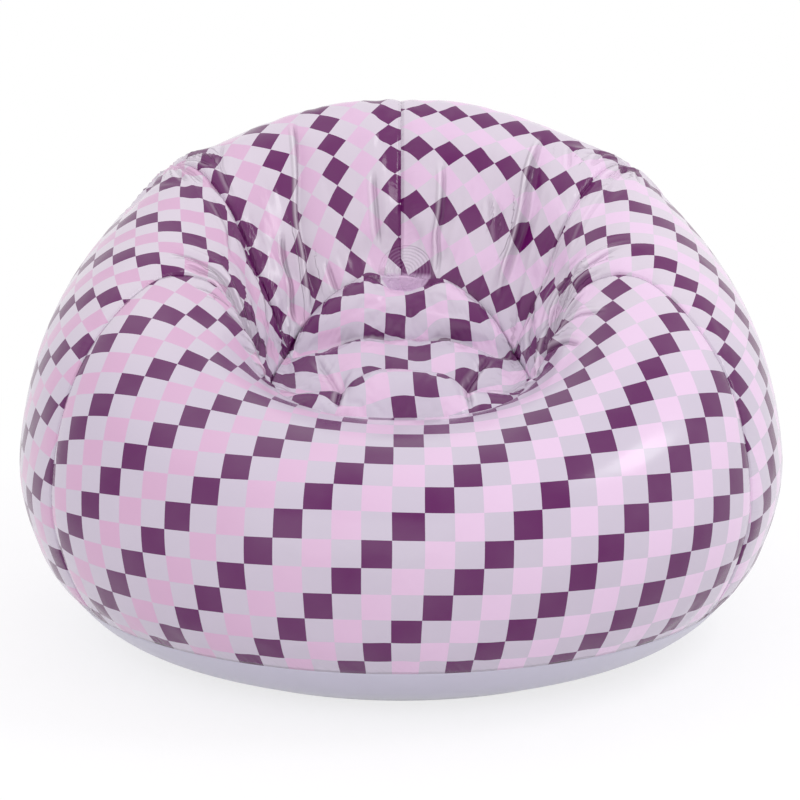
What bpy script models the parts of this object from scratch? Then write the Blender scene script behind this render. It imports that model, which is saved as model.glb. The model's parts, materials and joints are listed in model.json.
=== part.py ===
"""Inflatable lounge chair: seven welded vinyl panels, inner ties and a valve.

Metres, +Z up. The sitter faces -Y, so the open front of the seat is at -Y.
Left and right are as seen from the front: left is -X, right is +X.
"""
import math

import bpy
import numpy as np
from mathutils import Matrix, Vector

# Overall size of the inflated chair.
WIDTH = 1.07
DEPTH = 1.04
HEIGHT = 0.71

# Vinyl sheet, its welded seams and the gap left between welded pieces.
SKIN = 0.0004
WELD = 0.008
GAP = 0.0003
SEAM_VALLEY = 0.006
SHOULDER_RIDGE = 0.016

# Tufts that pull the skin in, and the ties behind them.
SEAT_TUFT_DEPTH = 0.026
SEAT_TUFT_RADIUS = 0.028
SEAT_PILLOW_RISE = 0.025
LUMBAR_TUFT_DEPTH = 0.018
LUMBAR_TUFT_RADIUS = 0.045
TIE_WIDTH = 0.060
LUMBAR_PATCH_INSET = 0.013
LUMBAR_PATCH_RADIUS = LUMBAR_TUFT_RADIUS - LUMBAR_PATCH_INSET
SEAT_PATCH_RADIUS = 0.010
BASE_PATCH_RADIUS = 0.036
PATCH = 0.0006

# Valve, measured from the outer face of the skin along its outward normal.
VALVE_FLANGE_RADIUS = 0.030
VALVE_FLANGE = 0.0010
VALVE_NECK_RADIUS = 0.0225
VALVE_BORE_RADIUS = 0.0185
VALVE_NECK_HEIGHT = 0.008
VALVE_PLUG_BORE_RADIUS = 0.0120
VALVE_PLUG_REACH = 0.006
VALVE_RIM_RADIUS = 0.0240
VALVE_RIM = 0.0025
VALVE_THREAD = 0.0003
VALVE_FIT = 0.0003
GASKET = 0.0014
CAP_RADIUS = 0.0150
CAP = 0.0020
CAP_LIP = 0.0010
CAP_LIP_REACH = 0.0045
CAP_TAB_WIDTH = 0.008
FLAP_RADIUS = 0.0150
FLAP = 0.0010
BAR_WIDTH = 0.0020
BAR_ROOT = 0.0020
CAP_TAB_ROOT = 0.0030
CAP_HINGE_OFFSET = 0.0022
INSET = 0.0002

# Columns run round the chair from the front (0) to the back (+30 and -30).
FRONT_SEAM = 10
BACK_SEAM = 20
REAR = 30
COLUMN_KNOTS = (0, FRONT_SEAM, BACK_SEAM, REAR)
# Rows run up the outside, over the top and down to the seat.
SEAT_SEAM_ROW = 10
WALL_ROWS = (2, 2.5, 3, 3.5, 4, 4.6, 5.2, 5.8, 6.4, 7, 7.5, 8, 8.5, 9, 9.33, 9.66, 10)
BASE_ROWS = range(3)
VALVE_COLUMN = 25
VALVE_ROW = WALL_ROWS[3]
REAR_PATCH_ROW = WALL_ROWS[5]

# One line per ring: half width over WIDTH, front, rear and middle over DEPTH,
# squareness, heights at 0, 45, 90, 135 and 180 degrees over HEIGHT.
RING_SHARES = (
    (0.3271, -0.3413, 0.3462, 0.000, 1.00, (0.000, 0.000, 0.000, 0.000, 0.000)),
    (0.3991, -0.4060, 0.4106, 0.000, 1.00, (0.044, 0.044, 0.044, 0.044, 0.044)),
    (0.4430, -0.4471, 0.4500, 0.000, 0.99, (0.106, 0.106, 0.106, 0.106, 0.106)),
    (0.4785, -0.4827, 0.4827, 0.000, 0.97, (0.190, 0.190, 0.194, 0.197, 0.197)),
    (0.5000, -0.5000, 0.5023, 0.000, 0.95, (0.317, 0.331, 0.366, 0.387, 0.394)),
    (0.4673, -0.4712, 0.4731, 0.010, 0.94, (0.425, 0.479, 0.592, 0.684, 0.715)),
    (0.4000, -0.3962, 0.4154, 0.019, 0.93, (0.486, 0.563, 0.725, 0.860, 0.918)),
    (0.3178, -0.3058, 0.3346, 0.029, 0.90, (0.503, 0.590, 0.780, 0.928, 1.002)),
    (0.2430, -0.2404, 0.2673, 0.019, 0.85, (0.497, 0.553, 0.735, 0.878, 0.956)),
    (0.1981, -0.2048, 0.2135, 0.010, 0.77, (0.484, 0.513, 0.641, 0.749, 0.822)),
)
# Angles in degrees of the front seam and of the back seam on each ring.
SEAM_ANGLES = (
    (60, 136), (60, 136), (60, 136), (60, 135), (60, 133),
    (63, 130), (69, 126), (76, 119), (82, 112), (80, 109),
)
# Points of the seat seam over WIDTH, DEPTH and HEIGHT.
SEAT_FRONT_SHARES = (0.0, -0.1846, 0.4732)
SEAT_CORNER_SHARES = (0.1710, -0.1250, 0.4958)
SEAT_SIDE_SHARES = (0.1495, 0.0529, 0.5303)
SEAT_REAR_SHARES = (0.0, 0.1519, 0.6592)
# Centre line of the seat from its front seam to the lumbar seam: the share of
# the way, then the place over DEPTH and over HEIGHT.
SEAT_LINE_SHARES = (
    (0.00, -0.1846, 0.4732), (0.08, -0.1587, 0.5035), (0.16, -0.1250, 0.5155),
    (0.24, -0.0962, 0.5085), (0.32, -0.0692, 0.4986), (0.40, -0.0365, 0.5148),
    (0.48, 0.0000, 0.5331), (0.56, 0.0385, 0.5514), (0.62, 0.0635, 0.5549),
    (0.68, 0.0827, 0.5465), (0.74, 0.0885, 0.5662), (0.80, 0.0942, 0.5972),
    (0.86, 0.1038, 0.6254), (0.93, 0.1250, 0.6521), (1.00, 0.1519, 0.6592),
)
SEAT_TUFT_SHARES = ((-0.0729, -0.0788), (0.0785, -0.0615))
# Front pillow between the tufts: half width over WIDTH, middle and half length
# over DEPTH. The fold behind it bends back towards the sides, as a share.
SEAT_PILLOW_SHARES = (0.0766, -0.0962, 0.0558)
SEAT_FOLD_BEND_SHARE = 0.25
LUMBAR_TUFT_SHARES = (0.0, 0.1731, 0.6930)
LUMBAR_PULL = (0.0, 0.929, -0.370)
SEAT_FRONT_BOW_SHARE = 0.12
SEAT_SIDE_BOW_SHARE = 0.019
SEAT_REAR_BOW_SHARE = 0.25

SIZE = np.array((WIDTH, DEPTH, HEIGHT))
PRINT = (0.546, 0.414, 0.551, 1.0)
PLAIN = (0.462, 0.440, 0.527, 1.0)
CLEAR = (0.780, 0.780, 0.800, 1.0)
MILKY = (0.640, 0.620, 0.680, 1.0)


def clear_scene():
    for item in list(bpy.data.objects):
        bpy.data.objects.remove(item, do_unlink=True)


def material(name, colour, roughness):
    made = bpy.data.materials.new(name)
    made.use_nodes = True
    shader = made.node_tree.nodes["Principled BSDF"]
    shader.inputs["Base Color"].default_value = colour
    shader.inputs["Roughness"].default_value = roughness
    shader.inputs["Metallic"].default_value = 0.0
    return made


def add_object(name, vertices, faces, surface):
    mesh = bpy.data.meshes.new(name)
    mesh.from_pydata([tuple(map(float, v)) for v in vertices], [], faces)
    mesh.validate()
    mesh.materials.append(surface)
    made = bpy.data.objects.new(name, mesh)
    bpy.context.scene.collection.objects.link(made)
    return made


def smooth_step(value):
    value = np.clip(value, 0.0, 1.0)
    return value * value * (3.0 - 2.0 * value)


def unit(vectors):
    return vectors / (np.linalg.norm(vectors, axis=-1, keepdims=True) + 1e-12)


def seat_seam(columns):
    """Points of the seam round the seat, corner to corner in three curves."""
    around = np.abs(columns)
    first = np.clip(around / FRONT_SEAM, 0, 1)
    second = np.clip((around - FRONT_SEAM) / (BACK_SEAM - FRONT_SEAM), 0, 1)
    third = np.clip((REAR - around) / (REAR - BACK_SEAM), 0, 1)
    front = np.array(SEAT_FRONT_SHARES)
    corner = np.array(SEAT_CORNER_SHARES)
    side = np.array(SEAT_SIDE_SHARES)
    rear = np.array(SEAT_REAR_SHARES)
    front_bow = 1 + SEAT_FRONT_BOW_SHARE * (1 - first**2)
    rear_bow = 1 + SEAT_REAR_BOW_SHARE * (1 - third**2)
    x = np.where(around <= FRONT_SEAM, corner[0] * first * front_bow, 0.0)
    y = front[1] + (corner[1] - front[1]) * first**4
    z = front[2] + (corner[2] - front[2]) * first**3
    beside = (around > FRONT_SEAM) & (around <= BACK_SEAM)
    swell = SEAT_SIDE_BOW_SHARE * second * (1 - second)
    x = np.where(beside, corner[0] + (side[0] - corner[0]) * second + swell, x)
    y = np.where(beside, corner[1] + (side[1] - corner[1]) * second, y)
    z = np.where(beside, corner[2] + (side[2] - corner[2]) * second, z)
    behind = around > BACK_SEAM
    x = np.where(behind, side[0] * third * rear_bow, x)
    y = np.where(behind, rear[1] + (side[1] - rear[1]) * third**2.2, y)
    z = np.where(behind, rear[2] + (side[2] - rear[2]) * third**1.5, z)
    x = np.where(around == REAR, 0.0, x * np.sign(columns))
    return np.stack([x, y, z], -1) * SIZE


def ring_points(index, columns):
    if index == SEAT_SEAM_ROW:
        return seat_seam(columns)
    half, front, rear, middle, square, heights = RING_SHARES[index]
    knots = (0,) + SEAM_ANGLES[index] + (180,)
    angle = np.radians(np.sign(columns) * np.interp(np.abs(columns), COLUMN_KNOTS, knots))
    sine, cosine = np.sin(angle), np.cos(angle)
    x = half * np.sign(sine) * np.abs(sine) ** square
    reach = np.where(cosine > 0, front - middle, rear - middle)
    y = middle + reach * np.abs(cosine) ** square
    orders = np.arange(5)
    basis = np.cos(np.outer(np.radians((0, 45, 90, 135, 180)), orders))
    series = np.linalg.solve(basis, np.array(heights))
    z = np.cos(angle[..., None] * orders) @ series
    return np.stack([x, y, z], -1) * SIZE


def smooth_wall(columns, rows):
    """The wall before seams and tufts, one point per column and row pair."""
    rings = np.stack([ring_points(k, columns) for k in range(SEAT_SEAM_ROW + 1)])
    first = 2 * rings[:1] - rings[1:2]
    last = 2 * rings[-1:] - rings[-2:-1]
    rings = np.concatenate([first, rings, last])
    low = np.clip(np.floor(rows).astype(int), 0, SEAT_SEAM_ROW - 1)
    part = (rows - low)[..., None]
    index = np.indices(rows.shape)
    a, b, c, d = (rings[(low + k, *index)] for k in range(4))
    cubic = 3 * b - 3 * c + d - a
    square = 2 * a - 5 * b + 4 * c - d
    return 0.5 * (2 * b + (c - a) * part + square * part**2 + cubic * part**3)


def wall_normal(columns, rows):
    step = 1e-3
    along = smooth_wall(columns + step, rows) - smooth_wall(columns - step, rows)
    up = smooth_wall(columns, rows + step) - smooth_wall(columns, rows - step)
    return unit(np.cross(along, up))


def lumbar_dent(points):
    """Push the round lumbar tuft back along the pull of its tie."""
    centre = np.array(LUMBAR_TUFT_SHARES) * SIZE
    pull = unit(np.array(LUMBAR_PULL))
    away = points - centre
    along = away @ pull
    side = np.linalg.norm(away - along[..., None] * pull, axis=-1)
    near = np.abs(along) < 2.7 * LUMBAR_TUFT_RADIUS
    fall = 1 / (1 + np.exp((side - LUMBAR_TUFT_RADIUS) / (0.25 * LUMBAR_TUFT_RADIUS)))
    return points + pull * (LUMBAR_TUFT_DEPTH * near * fall)[..., None]


def wall_points(columns, rows):
    points = smooth_wall(columns, rows)
    around = np.abs(columns)
    open_rows = np.clip((rows - 2.2) / 1.2, 0, 1) * np.clip((9.8 - rows) / 1.2, 0, 1)
    seams = (FRONT_SEAM, BACK_SEAM)
    valley = sum(np.exp(-(((around - seam) / 0.9) ** 2)) for seam in seams)
    valley = valley + 0.4 * np.exp(-(((around - REAR) / 0.9) ** 2))
    ridge = np.exp(-(((around - BACK_SEAM) / 1.3) ** 2)) * np.exp(-(((rows - 6) / 0.9) ** 2))
    lift = SHOULDER_RIDGE * ridge - SEAM_VALLEY * open_rows * valley
    return lumbar_dent(points + wall_normal(columns, rows) * lift[..., None])


def weld_direction(columns, rows):
    """Direction in which the welded edges turn into the air chamber."""
    inward = -wall_normal(columns, rows)
    top = rows > SEAT_SEAM_ROW - 0.01
    if top.any():
        inward[top] = seat_weld_direction(columns[top])
    return inward


def seat_weld_direction(columns):
    """Between the wall and the seat, square to the seam round the seat."""
    grid = seat_surface()
    along = np.gradient(grid, axis=1)
    out = np.gradient(grid, axis=0)
    normals = unit(np.cross(along, out))
    around = np.abs(columns)
    beside = np.rint(2 * (around - FRONT_SEAM)).astype(int)
    behind = np.rint(np.where(columns < 0, around, 2 * REAR - around) - BACK_SEAM).astype(int)
    across = np.rint(columns + FRONT_SEAM).astype(int)
    row = np.where(around <= FRONT_SEAM, 0, np.where(around < BACK_SEAM, beside, -1))
    edge = np.where(columns < 0, 0, -1)
    column = np.where(around <= FRONT_SEAM, across, np.where(around < BACK_SEAM, edge, behind))
    seat = normals[row, column]
    wall = wall_normal(columns, np.full(columns.shape, SEAT_SEAM_ROW - 0.3))
    inward = -unit(seat + wall)
    tangent = unit(seat_seam(columns + 0.01) - seat_seam(columns - 0.01))
    return unit(inward - 0.7 * tangent * np.sum(inward * tangent, -1, keepdims=True))


def grid_of(columns, rows):
    return np.meshgrid(np.asarray(columns, float), np.asarray(rows, float))


def draw_in_side(points, inward, border, inner):
    """Step of half the gap towards the panel, square to the weld."""
    away = points[inner] - points[border]
    tangent = unit(np.gradient(points[border], axis=0))
    turn = inward[border]
    away = away - tangent * np.sum(away * tangent, -1, keepdims=True)
    turn = unit(turn - tangent * np.sum(turn * tangent, -1, keepdims=True))
    away = away - turn * np.sum(away * turn, -1, keepdims=True)
    return unit(away) * GAP / 2


def draw_in(points, inward, sides):
    moved = points.copy()
    every = slice(None)
    borders = {
        "low": ((0, every), (1, every)),
        "high": ((-1, every), (-2, every)),
        "start": ((every, 0), (every, 1)),
        "end": ((every, -1), (every, -2)),
    }
    for side in sides:
        border, inner = borders[side]
        moved[border] += draw_in_side(points, inward, border, inner)
    return moved


def solid_sheet(name, vertices, faces, surface):
    made = add_object(name, vertices, faces, surface)
    thick = made.modifiers.new("skin", "SOLIDIFY")
    thick.thickness = SKIN
    thick.offset = -1.0
    thick.use_even_offset = True
    thick.use_quality_normals = True
    return made


def grid_faces(rows, columns):
    faces = []
    for r in range(rows - 1):
        for c in range(columns - 1):
            low = r * columns + c
            faces.append((low, low + 1, low + columns + 1, low + columns))
    return faces


def border_loop(rows, columns):
    low = [c for c in range(columns)]
    end = [r * columns + columns - 1 for r in range(1, rows)]
    high = [(rows - 1) * columns + c for c in range(columns - 2, -1, -1)]
    start = [r * columns for r in range(rows - 2, 0, -1)]
    return low + end + high + start


def add_welds(vertices, faces, loop, inward, order):
    """Turn the border inward by the width of the weld.

    Both pieces of a seam split each piece of it the same way, from the end
    that comes first in the order. A point without a place in the order is the
    middle of a chord and gets no edge of its own.
    """
    ends = [index for index in loop if order[index] >= 0]
    first = len(vertices)
    for index in ends:
        vertices.append(vertices[index] + inward[index] * WELD)
    size = len(loop)
    for k, a in enumerate(ends):
        after = (k + 1) % len(ends)
        b = ends[after]
        turn_a, turn_b = first + k, first + after
        middle = loop[(loop.index(a) + 1) % size]
        tip = turn_b if order[a] < order[b] else turn_a
        faces.append((b, a, tip) if middle == b else (middle, a, tip))
        if middle != b:
            faces.append((b, middle, tip))
        faces.append((a if tip == turn_b else b, turn_a, turn_b))


def seam_order(columns, rows):
    return rows * 100 + np.abs(columns)


def panel(name, points, inward, order, surface):
    rows, columns = points.shape[:2]
    drawn = draw_in(points, inward, ("low", "high", "start", "end"))
    vertices = list(drawn.reshape(-1, 3))
    faces = grid_faces(rows, columns)
    loop = border_loop(rows, columns)
    add_welds(vertices, faces, loop, inward.reshape(-1, 3), order.reshape(-1))
    return solid_sheet(name, vertices, faces, surface)


def wall_panel(name, first, last, surface):
    columns, rows = grid_of(np.arange(first, last + 1), WALL_ROWS)
    points = wall_points(columns, rows)
    if first < VALVE_COLUMN < last:
        flatten_for_valve(points, first)
    inward = weld_direction(columns, rows)
    return panel(name, points, inward, seam_order(columns, rows), surface)


def flatten_for_valve(points, first):
    """Lay the eight points round the valve in the plane of the skin there."""
    row = WALL_ROWS.index(VALVE_ROW)
    column = VALVE_COLUMN - first
    place, normal = valve_place()
    patch = points[row - 1:row + 2, column - 1:column + 2]
    away = (patch - place) @ normal
    patch -= away[..., None] * normal


def valve_place():
    column = np.array([float(VALVE_COLUMN)])
    row = np.array([VALVE_ROW])
    return wall_points(column, row)[0], wall_normal(column, row)[0]


def bottom_panel(surface):
    columns, rows = grid_of(np.arange(-REAR, REAR), BASE_ROWS)
    points = wall_points(columns, rows)
    inward = weld_direction(columns, rows)
    wrapped = np.concatenate([points[:, -1:], points, points[:, :1]], axis=1)
    wrapped_in = np.concatenate([inward[:, -1:], inward, inward[:, :1]], axis=1)
    drawn = draw_in(wrapped, wrapped_in, ("high",))[:, 1:-1]
    count = columns.shape[1]
    vertices = list(drawn.reshape(-1, 3))
    faces = []
    for r in range(len(BASE_ROWS) - 1):
        for c in range(count):
            after = (c + 1) % count
            low, high = r * count, (r + 1) * count
            faces.append((low + c, low + after, high + after, high + c))
    faces.append(tuple(range(count - 1, -1, -1)))
    top = (len(BASE_ROWS) - 1) * count
    loop = [top + c for c in range(count - 1, -1, -1)]
    order = seam_order(columns, rows).reshape(-1)
    add_welds(vertices, faces, loop, inward.reshape(-1, 3), order)
    return solid_sheet("bottom_panel", vertices, faces, surface)


def halved(points):
    """Points with one more on the middle of every chord."""
    middle = (points[1:] + points[:-1]) / 2
    made = np.empty((2 * len(points) - 1, points.shape[1]))
    made[::2] = points
    made[1::2] = middle
    return made


def seat_columns():
    """Columns along the front, left, right and back edges of the seat."""
    across = np.arange(-FRONT_SEAM, FRONT_SEAM + 1, dtype=float)
    beside = np.arange(FRONT_SEAM, BACK_SEAM + 1, dtype=float)
    left = np.arange(BACK_SEAM, REAR, dtype=float)
    right = np.arange(REAR, BACK_SEAM - 1, -1, dtype=float)
    return across, -beside, beside, np.concatenate([-left, right])


def seat_edges():
    edges = []
    for columns in seat_columns():
        rows = np.full(columns.shape, float(SEAT_SEAM_ROW))
        edges.append(wall_points(columns, rows))
    front, left, right, back = edges
    return front, halved(left), halved(right), back


def blend_patch(edges):
    """Grid filled between four edges, straight across and along."""
    front, left, right, back = edges
    across = np.linspace(0, 1, len(front))[None, :, None]
    along = np.linspace(0, 1, len(left))[:, None, None]
    grid = (1 - along) * front[None] + along * back[None]
    grid = grid + (1 - across) * left[:, None] + across * right[:, None]
    corners = (1 - across) * (1 - along) * front[0] + across * (1 - along) * front[-1]
    corners = corners + (1 - across) * along * back[0] + across * along * back[-1]
    return grid - corners


def seat_surface():
    grid = blend_patch(seat_edges())
    rows, columns = grid.shape[:2]
    middle = columns // 2
    way = np.linspace(0, 1, rows)
    line = np.array(SEAT_LINE_SHARES)
    sideways = np.linspace(-1, 1, columns)[None]
    window = np.clip((way - 0.25) / 0.3, 0, 1) * np.clip((1 - way) / 0.08, 0, 1)
    bent = way[:, None] - SEAT_FOLD_BEND_SHARE * sideways**2 * window[:, None]
    place = np.interp(bent, line[:, 0], line[:, 1]) * DEPTH
    height = np.interp(bent, line[:, 0], line[:, 2]) * HEIGHT
    across = 1 - np.abs(sideways) ** 3
    inside = np.ones((rows, columns))
    inside[[0, -1]] = 0
    grid[..., 1] += inside * across * (place - grid[:, middle, 1, None])
    grid[..., 2] += inside * across * (height - grid[:, middle, 2, None])
    half, centre, length = SEAT_PILLOW_SHARES
    wide = np.exp(-((grid[..., 0] / (half * WIDTH)) ** 4))
    long = np.exp(-(((grid[..., 1] / DEPTH - centre) / length) ** 4))
    grid[..., 2] += inside * SEAT_PILLOW_RISE * wide * long
    for share_x, share_y in SEAT_TUFT_SHARES:
        away = np.hypot(grid[..., 0] - share_x * WIDTH, grid[..., 1] - share_y * DEPTH)
        grid[..., 2] -= inside * SEAT_TUFT_DEPTH * np.exp(-((away / SEAT_TUFT_RADIUS) ** 2))
    return np.where(inside[..., None] > 0, lumbar_dent(grid), grid)


def seat_order(rows, columns):
    """Place of each border point along its seam, below zero for a middle."""
    order = np.full((rows, columns), -1.0)
    front, left, right, back = seat_columns()
    order[0] = np.abs(front)
    order[-1] = np.abs(back)
    order[::2, 0] = np.abs(left)
    order[::2, -1] = np.abs(right)
    return order


def seat_panel(surface):
    points = seat_surface()
    inward = np.zeros(points.shape)
    front, left, right, back = seat_columns()
    inward[0] = seat_weld_direction(front)
    inward[-1] = seat_weld_direction(back)
    inward[:, 0] = halved(seat_weld_direction(left))
    inward[:, -1] = halved(seat_weld_direction(right))
    order = seat_order(*points.shape[:2])
    return panel("seat_panel", points, unit(inward), order, surface)


def box_between(name, start, end, wide, width, thick, surface):
    """Flat strap from start to end, wide along the given direction."""
    start, end = Vector(start), Vector(end)
    along = (end - start).normalized()
    wide = Vector(wide)
    wide = (wide - along * wide.dot(along)).normalized() * width / 2
    deep = along.cross(wide).normalized() * thick / 2
    corners = []
    for place in (start, end):
        for a, b in ((-1, -1), (1, -1), (1, 1), (-1, 1)):
            corners.append(place + wide * a + deep * b)
    faces = [(3, 2, 1, 0), (4, 5, 6, 7), (0, 1, 5, 4), (1, 2, 6, 5), (2, 3, 7, 6), (3, 0, 4, 7)]
    return add_object(name, corners, faces, surface)


def lathe(name, outline, surface, segments=48):
    """Turned body from radius and height points, closed or axis to axis."""
    rings = []
    vertices = []
    for radius, height in outline:
        if radius == 0:
            rings.append([len(vertices)] * segments)
            vertices.append((0.0, 0.0, height))
            continue
        rings.append([len(vertices) + k for k in range(segments)])
        for k in range(segments):
            angle = 2 * math.pi * k / segments
            vertices.append((radius * math.cos(angle), radius * math.sin(angle), height))
    solid = outline[0][0] == 0
    faces = []
    for i in range(len(outline) - (1 if solid else 0)):
        low, high = rings[i], rings[(i + 1) % len(outline)]
        for k in range(segments):
            j = (k + 1) % segments
            corners = (low[k], low[j], high[j], high[k])
            faces.append(tuple(dict.fromkeys(corners)))
    return add_object(name, vertices, faces, surface)


def disc(name, radius, low, high, surface, segments=48):
    angles = [2 * math.pi * k / segments for k in range(segments)]
    vertices = [(radius * math.cos(a), radius * math.sin(a), low) for a in angles]
    vertices += [(radius * math.cos(a), radius * math.sin(a), high) for a in angles]
    faces = [tuple(range(segments - 1, -1, -1)), tuple(range(segments, 2 * segments))]
    for k in range(segments):
        j = (k + 1) % segments
        faces.append((k, j, segments + j, segments + k))
    return add_object(name, vertices, faces, surface)


def block(name, low, high, surface):
    x0, y0, z0 = low
    x1, y1, z1 = high
    vertices = [(x, y, z) for z in (z0, z1) for x, y in ((x0, y0), (x1, y0), (x1, y1), (x0, y1))]
    faces = [(3, 2, 1, 0), (4, 5, 6, 7), (0, 1, 5, 4), (1, 2, 6, 5), (2, 3, 7, 6), (3, 0, 4, 7)]
    return add_object(name, vertices, faces, surface)


def combine(target, tool, operation):
    """Join or cut with a hidden tool object."""
    step = target.modifiers.new(operation.lower(), "BOOLEAN")
    step.operation = operation
    step.solver = "EXACT"
    step.object = tool
    tool.hide_render = True
    tool.display_type = "WIRE"


def frame_at(place, normal, side=(1.0, 0.0, 0.0)):
    """Placement whose Z is the normal and whose X leans to the side given."""
    up = Vector(normal).normalized()
    across = Vector(side)
    across = (across - up * across.dot(up)).normalized()
    turned = Matrix((across, up.cross(across), up)).transposed().to_4x4()
    return Matrix.Translation(Vector(place)) @ turned


def set_down(item, placement, origin=(0.0, 0.0, 0.0)):
    """Place an object and keep its own origin at the given local point."""
    item.data.transform(Matrix.Translation(-Vector(origin)))
    item.matrix_world = placement @ Matrix.Translation(Vector(origin))


def patch(name, place, normal, radius, surface):
    """Round weld patch, its face at the place, its body along the normal."""
    made = disc(name, radius, 0.0, PATCH, surface)
    set_down(made, frame_at(place, normal))
    return made


def seat_ties(surface):
    """Straps that hold the two seat tufts down to the bottom panel."""
    grid = seat_surface()
    for side, (share_x, share_y) in zip(("left", "right"), SEAT_TUFT_SHARES):
        x, y = share_x * WIDTH, share_y * DEPTH
        away = np.hypot(grid[..., 0] - x, grid[..., 1] - y)
        low = grid[away < SEAT_PATCH_RADIUS + 1.3 * SEAT_TUFT_RADIUS]
        lowest = low[np.argmin(low[:, 2])]
        top = (lowest[0], lowest[1], lowest[2] - 2 * SKIN - GAP)
        base = (lowest[0], lowest[1], SKIN + GAP)
        patch(f"{side}_seat_patch", top, (0, 0, -1), SEAT_PATCH_RADIUS, surface)
        patch(f"{side}_base_patch", base, (0, 0, 1), BASE_PATCH_RADIUS, surface)
        upper = (top[0], top[1], top[2] - PATCH - GAP)
        lower = (base[0], base[1], base[2] + PATCH + GAP)
        box_between(f"{side}_seat_tie", upper, lower, (0, 1, 0), TIE_WIDTH, SKIN, surface)


def weld_edges():
    """Inner edges of the rear seam and of the seam round the seat."""
    rows = np.array(WALL_ROWS, float)
    rear = np.full(rows.shape, float(REAR))
    columns = seat_columns()[3]
    top = np.full(columns.shape, float(SEAT_SEAM_ROW))
    edges = []
    for line in ((rear, rows), (columns, top)):
        edges.append(wall_points(*line) + weld_direction(*line) * WELD)
    return edges


def depth_within(place, pull, radius):
    """How far the welded edges reach along the pull inside a radius."""
    deepest = 0.0
    for edge in weld_edges():
        part = np.linspace(0, 1, 40)[:, None, None]
        away = ((1 - part) * edge[:-1] + part * edge[1:]).reshape(-1, 3) - place
        along = away @ pull
        side = np.linalg.norm(away - along[:, None] * pull, axis=-1)
        near = (side < radius + GAP) & (np.abs(along) < 2 * radius)
        if near.any():
            deepest = max(deepest, float(along[near].max()))
    return deepest


def seated(place, pull, radius):
    return place + pull * (depth_within(place, pull, radius) + GAP)


def lumbar_tie(surface):
    """Strap from the round lumbar tuft to the rear of the chair."""
    pull = unit(np.array(LUMBAR_PULL))
    front = seated(np.array(LUMBAR_TUFT_SHARES) * SIZE, pull, LUMBAR_PATCH_RADIUS)
    column, row = np.array([float(REAR)]), np.array([REAR_PATCH_ROW])
    inward = -wall_normal(column, row)[0]
    rear = seated(wall_points(column, row)[0], inward, BASE_PATCH_RADIUS)
    patch("lumbar_tuft_patch", front, pull, LUMBAR_PATCH_RADIUS, surface)
    patch("rear_patch", rear, inward, BASE_PATCH_RADIUS, surface)
    start = front + pull * (PATCH + GAP)
    end = rear + inward * (PATCH + GAP)
    line = unit(end - start) * SKIN
    box_between("lumbar_tie", start + line, end - line, (1, 0, 0), TIE_WIDTH, SKIN, surface)


def valve(clear, milky, skin):
    place, normal = valve_place()
    spot = frame_at(place, normal)
    inner = -(SKIN + GAP)
    top = VALVE_NECK_HEIGHT
    base = lathe("valve_base", (
        (VALVE_BORE_RADIUS, inner - VALVE_FLANGE),
        (VALVE_FLANGE_RADIUS, inner - VALVE_FLANGE),
        (VALVE_FLANGE_RADIUS, inner),
        (VALVE_NECK_RADIUS, inner),
        (VALVE_NECK_RADIUS, top),
        (VALVE_BORE_RADIUS, top)), clear)
    set_down(base, spot)
    hole = disc("valve_hole_tool", VALVE_NECK_RADIUS + VALVE_FIT, -top, top, skin)
    set_down(hole, spot)
    gasket_low = top + GAP
    gasket = lathe("valve_gasket", (
        (VALVE_BORE_RADIUS, gasket_low),
        (VALVE_NECK_RADIUS, gasket_low),
        (VALVE_NECK_RADIUS, gasket_low + GASKET),
        (VALVE_BORE_RADIUS, gasket_low + GASKET)), milky)
    set_down(gasket, spot, (0, 0, gasket_low))
    rim_low = gasket_low + GASKET + GAP
    valve_unit(spot, rim_low, clear)
    valve_cap(spot, rim_low + VALVE_RIM, clear)
    valve_flap(spot, milky)
    return hole


def thread_outline(radius, low, high):
    """Outer side of the plug with three shallow thread ridges."""
    points = [(radius, low)]
    pitch = (high - low) / 4
    for k in range(1, 4):
        middle = low + k * pitch
        points.append((radius, middle - pitch / 4))
        points.append((radius + VALVE_THREAD / 2, middle))
        points.append((radius, middle + pitch / 4))
    points.append((radius, high))
    return points


def valve_unit(spot, rim_low, surface):
    outer = VALVE_BORE_RADIUS - VALVE_FIT - VALVE_THREAD / 2
    rim_top = rim_low + VALVE_RIM
    outline = [(VALVE_PLUG_BORE_RADIUS, -VALVE_PLUG_REACH)]
    outline += thread_outline(outer, -VALVE_PLUG_REACH, rim_low)
    outline += [(VALVE_RIM_RADIUS, rim_low), (VALVE_RIM_RADIUS, rim_top)]
    outline += [(VALVE_PLUG_BORE_RADIUS, rim_top)]
    made = lathe("valve_unit", outline, surface)
    reach = VALVE_PLUG_BORE_RADIUS + BAR_ROOT
    half = BAR_WIDTH / 2
    low = INSET - VALVE_PLUG_REACH
    high = low + BAR_WIDTH
    side = CAP_TAB_WIDTH / 2
    bars = (
        block("bar_tool_x", (-reach, -half, low), (reach, half, high), surface),
        block("bar_tool_y", (-half, -reach, low + INSET), (half, reach, high + INSET), surface),
        block("lug_tool", (-side, -cap_axis_reach(), rim_low + INSET),
              (side, CAP_TAB_ROOT - VALVE_RIM_RADIUS, rim_top - INSET), surface),
    )
    for bar in bars:
        set_down(bar, spot)
        combine(made, bar, "UNION")
    set_down(made, spot)


def cap_axis_reach():
    return VALVE_RIM_RADIUS + CAP_HINGE_OFFSET


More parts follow.
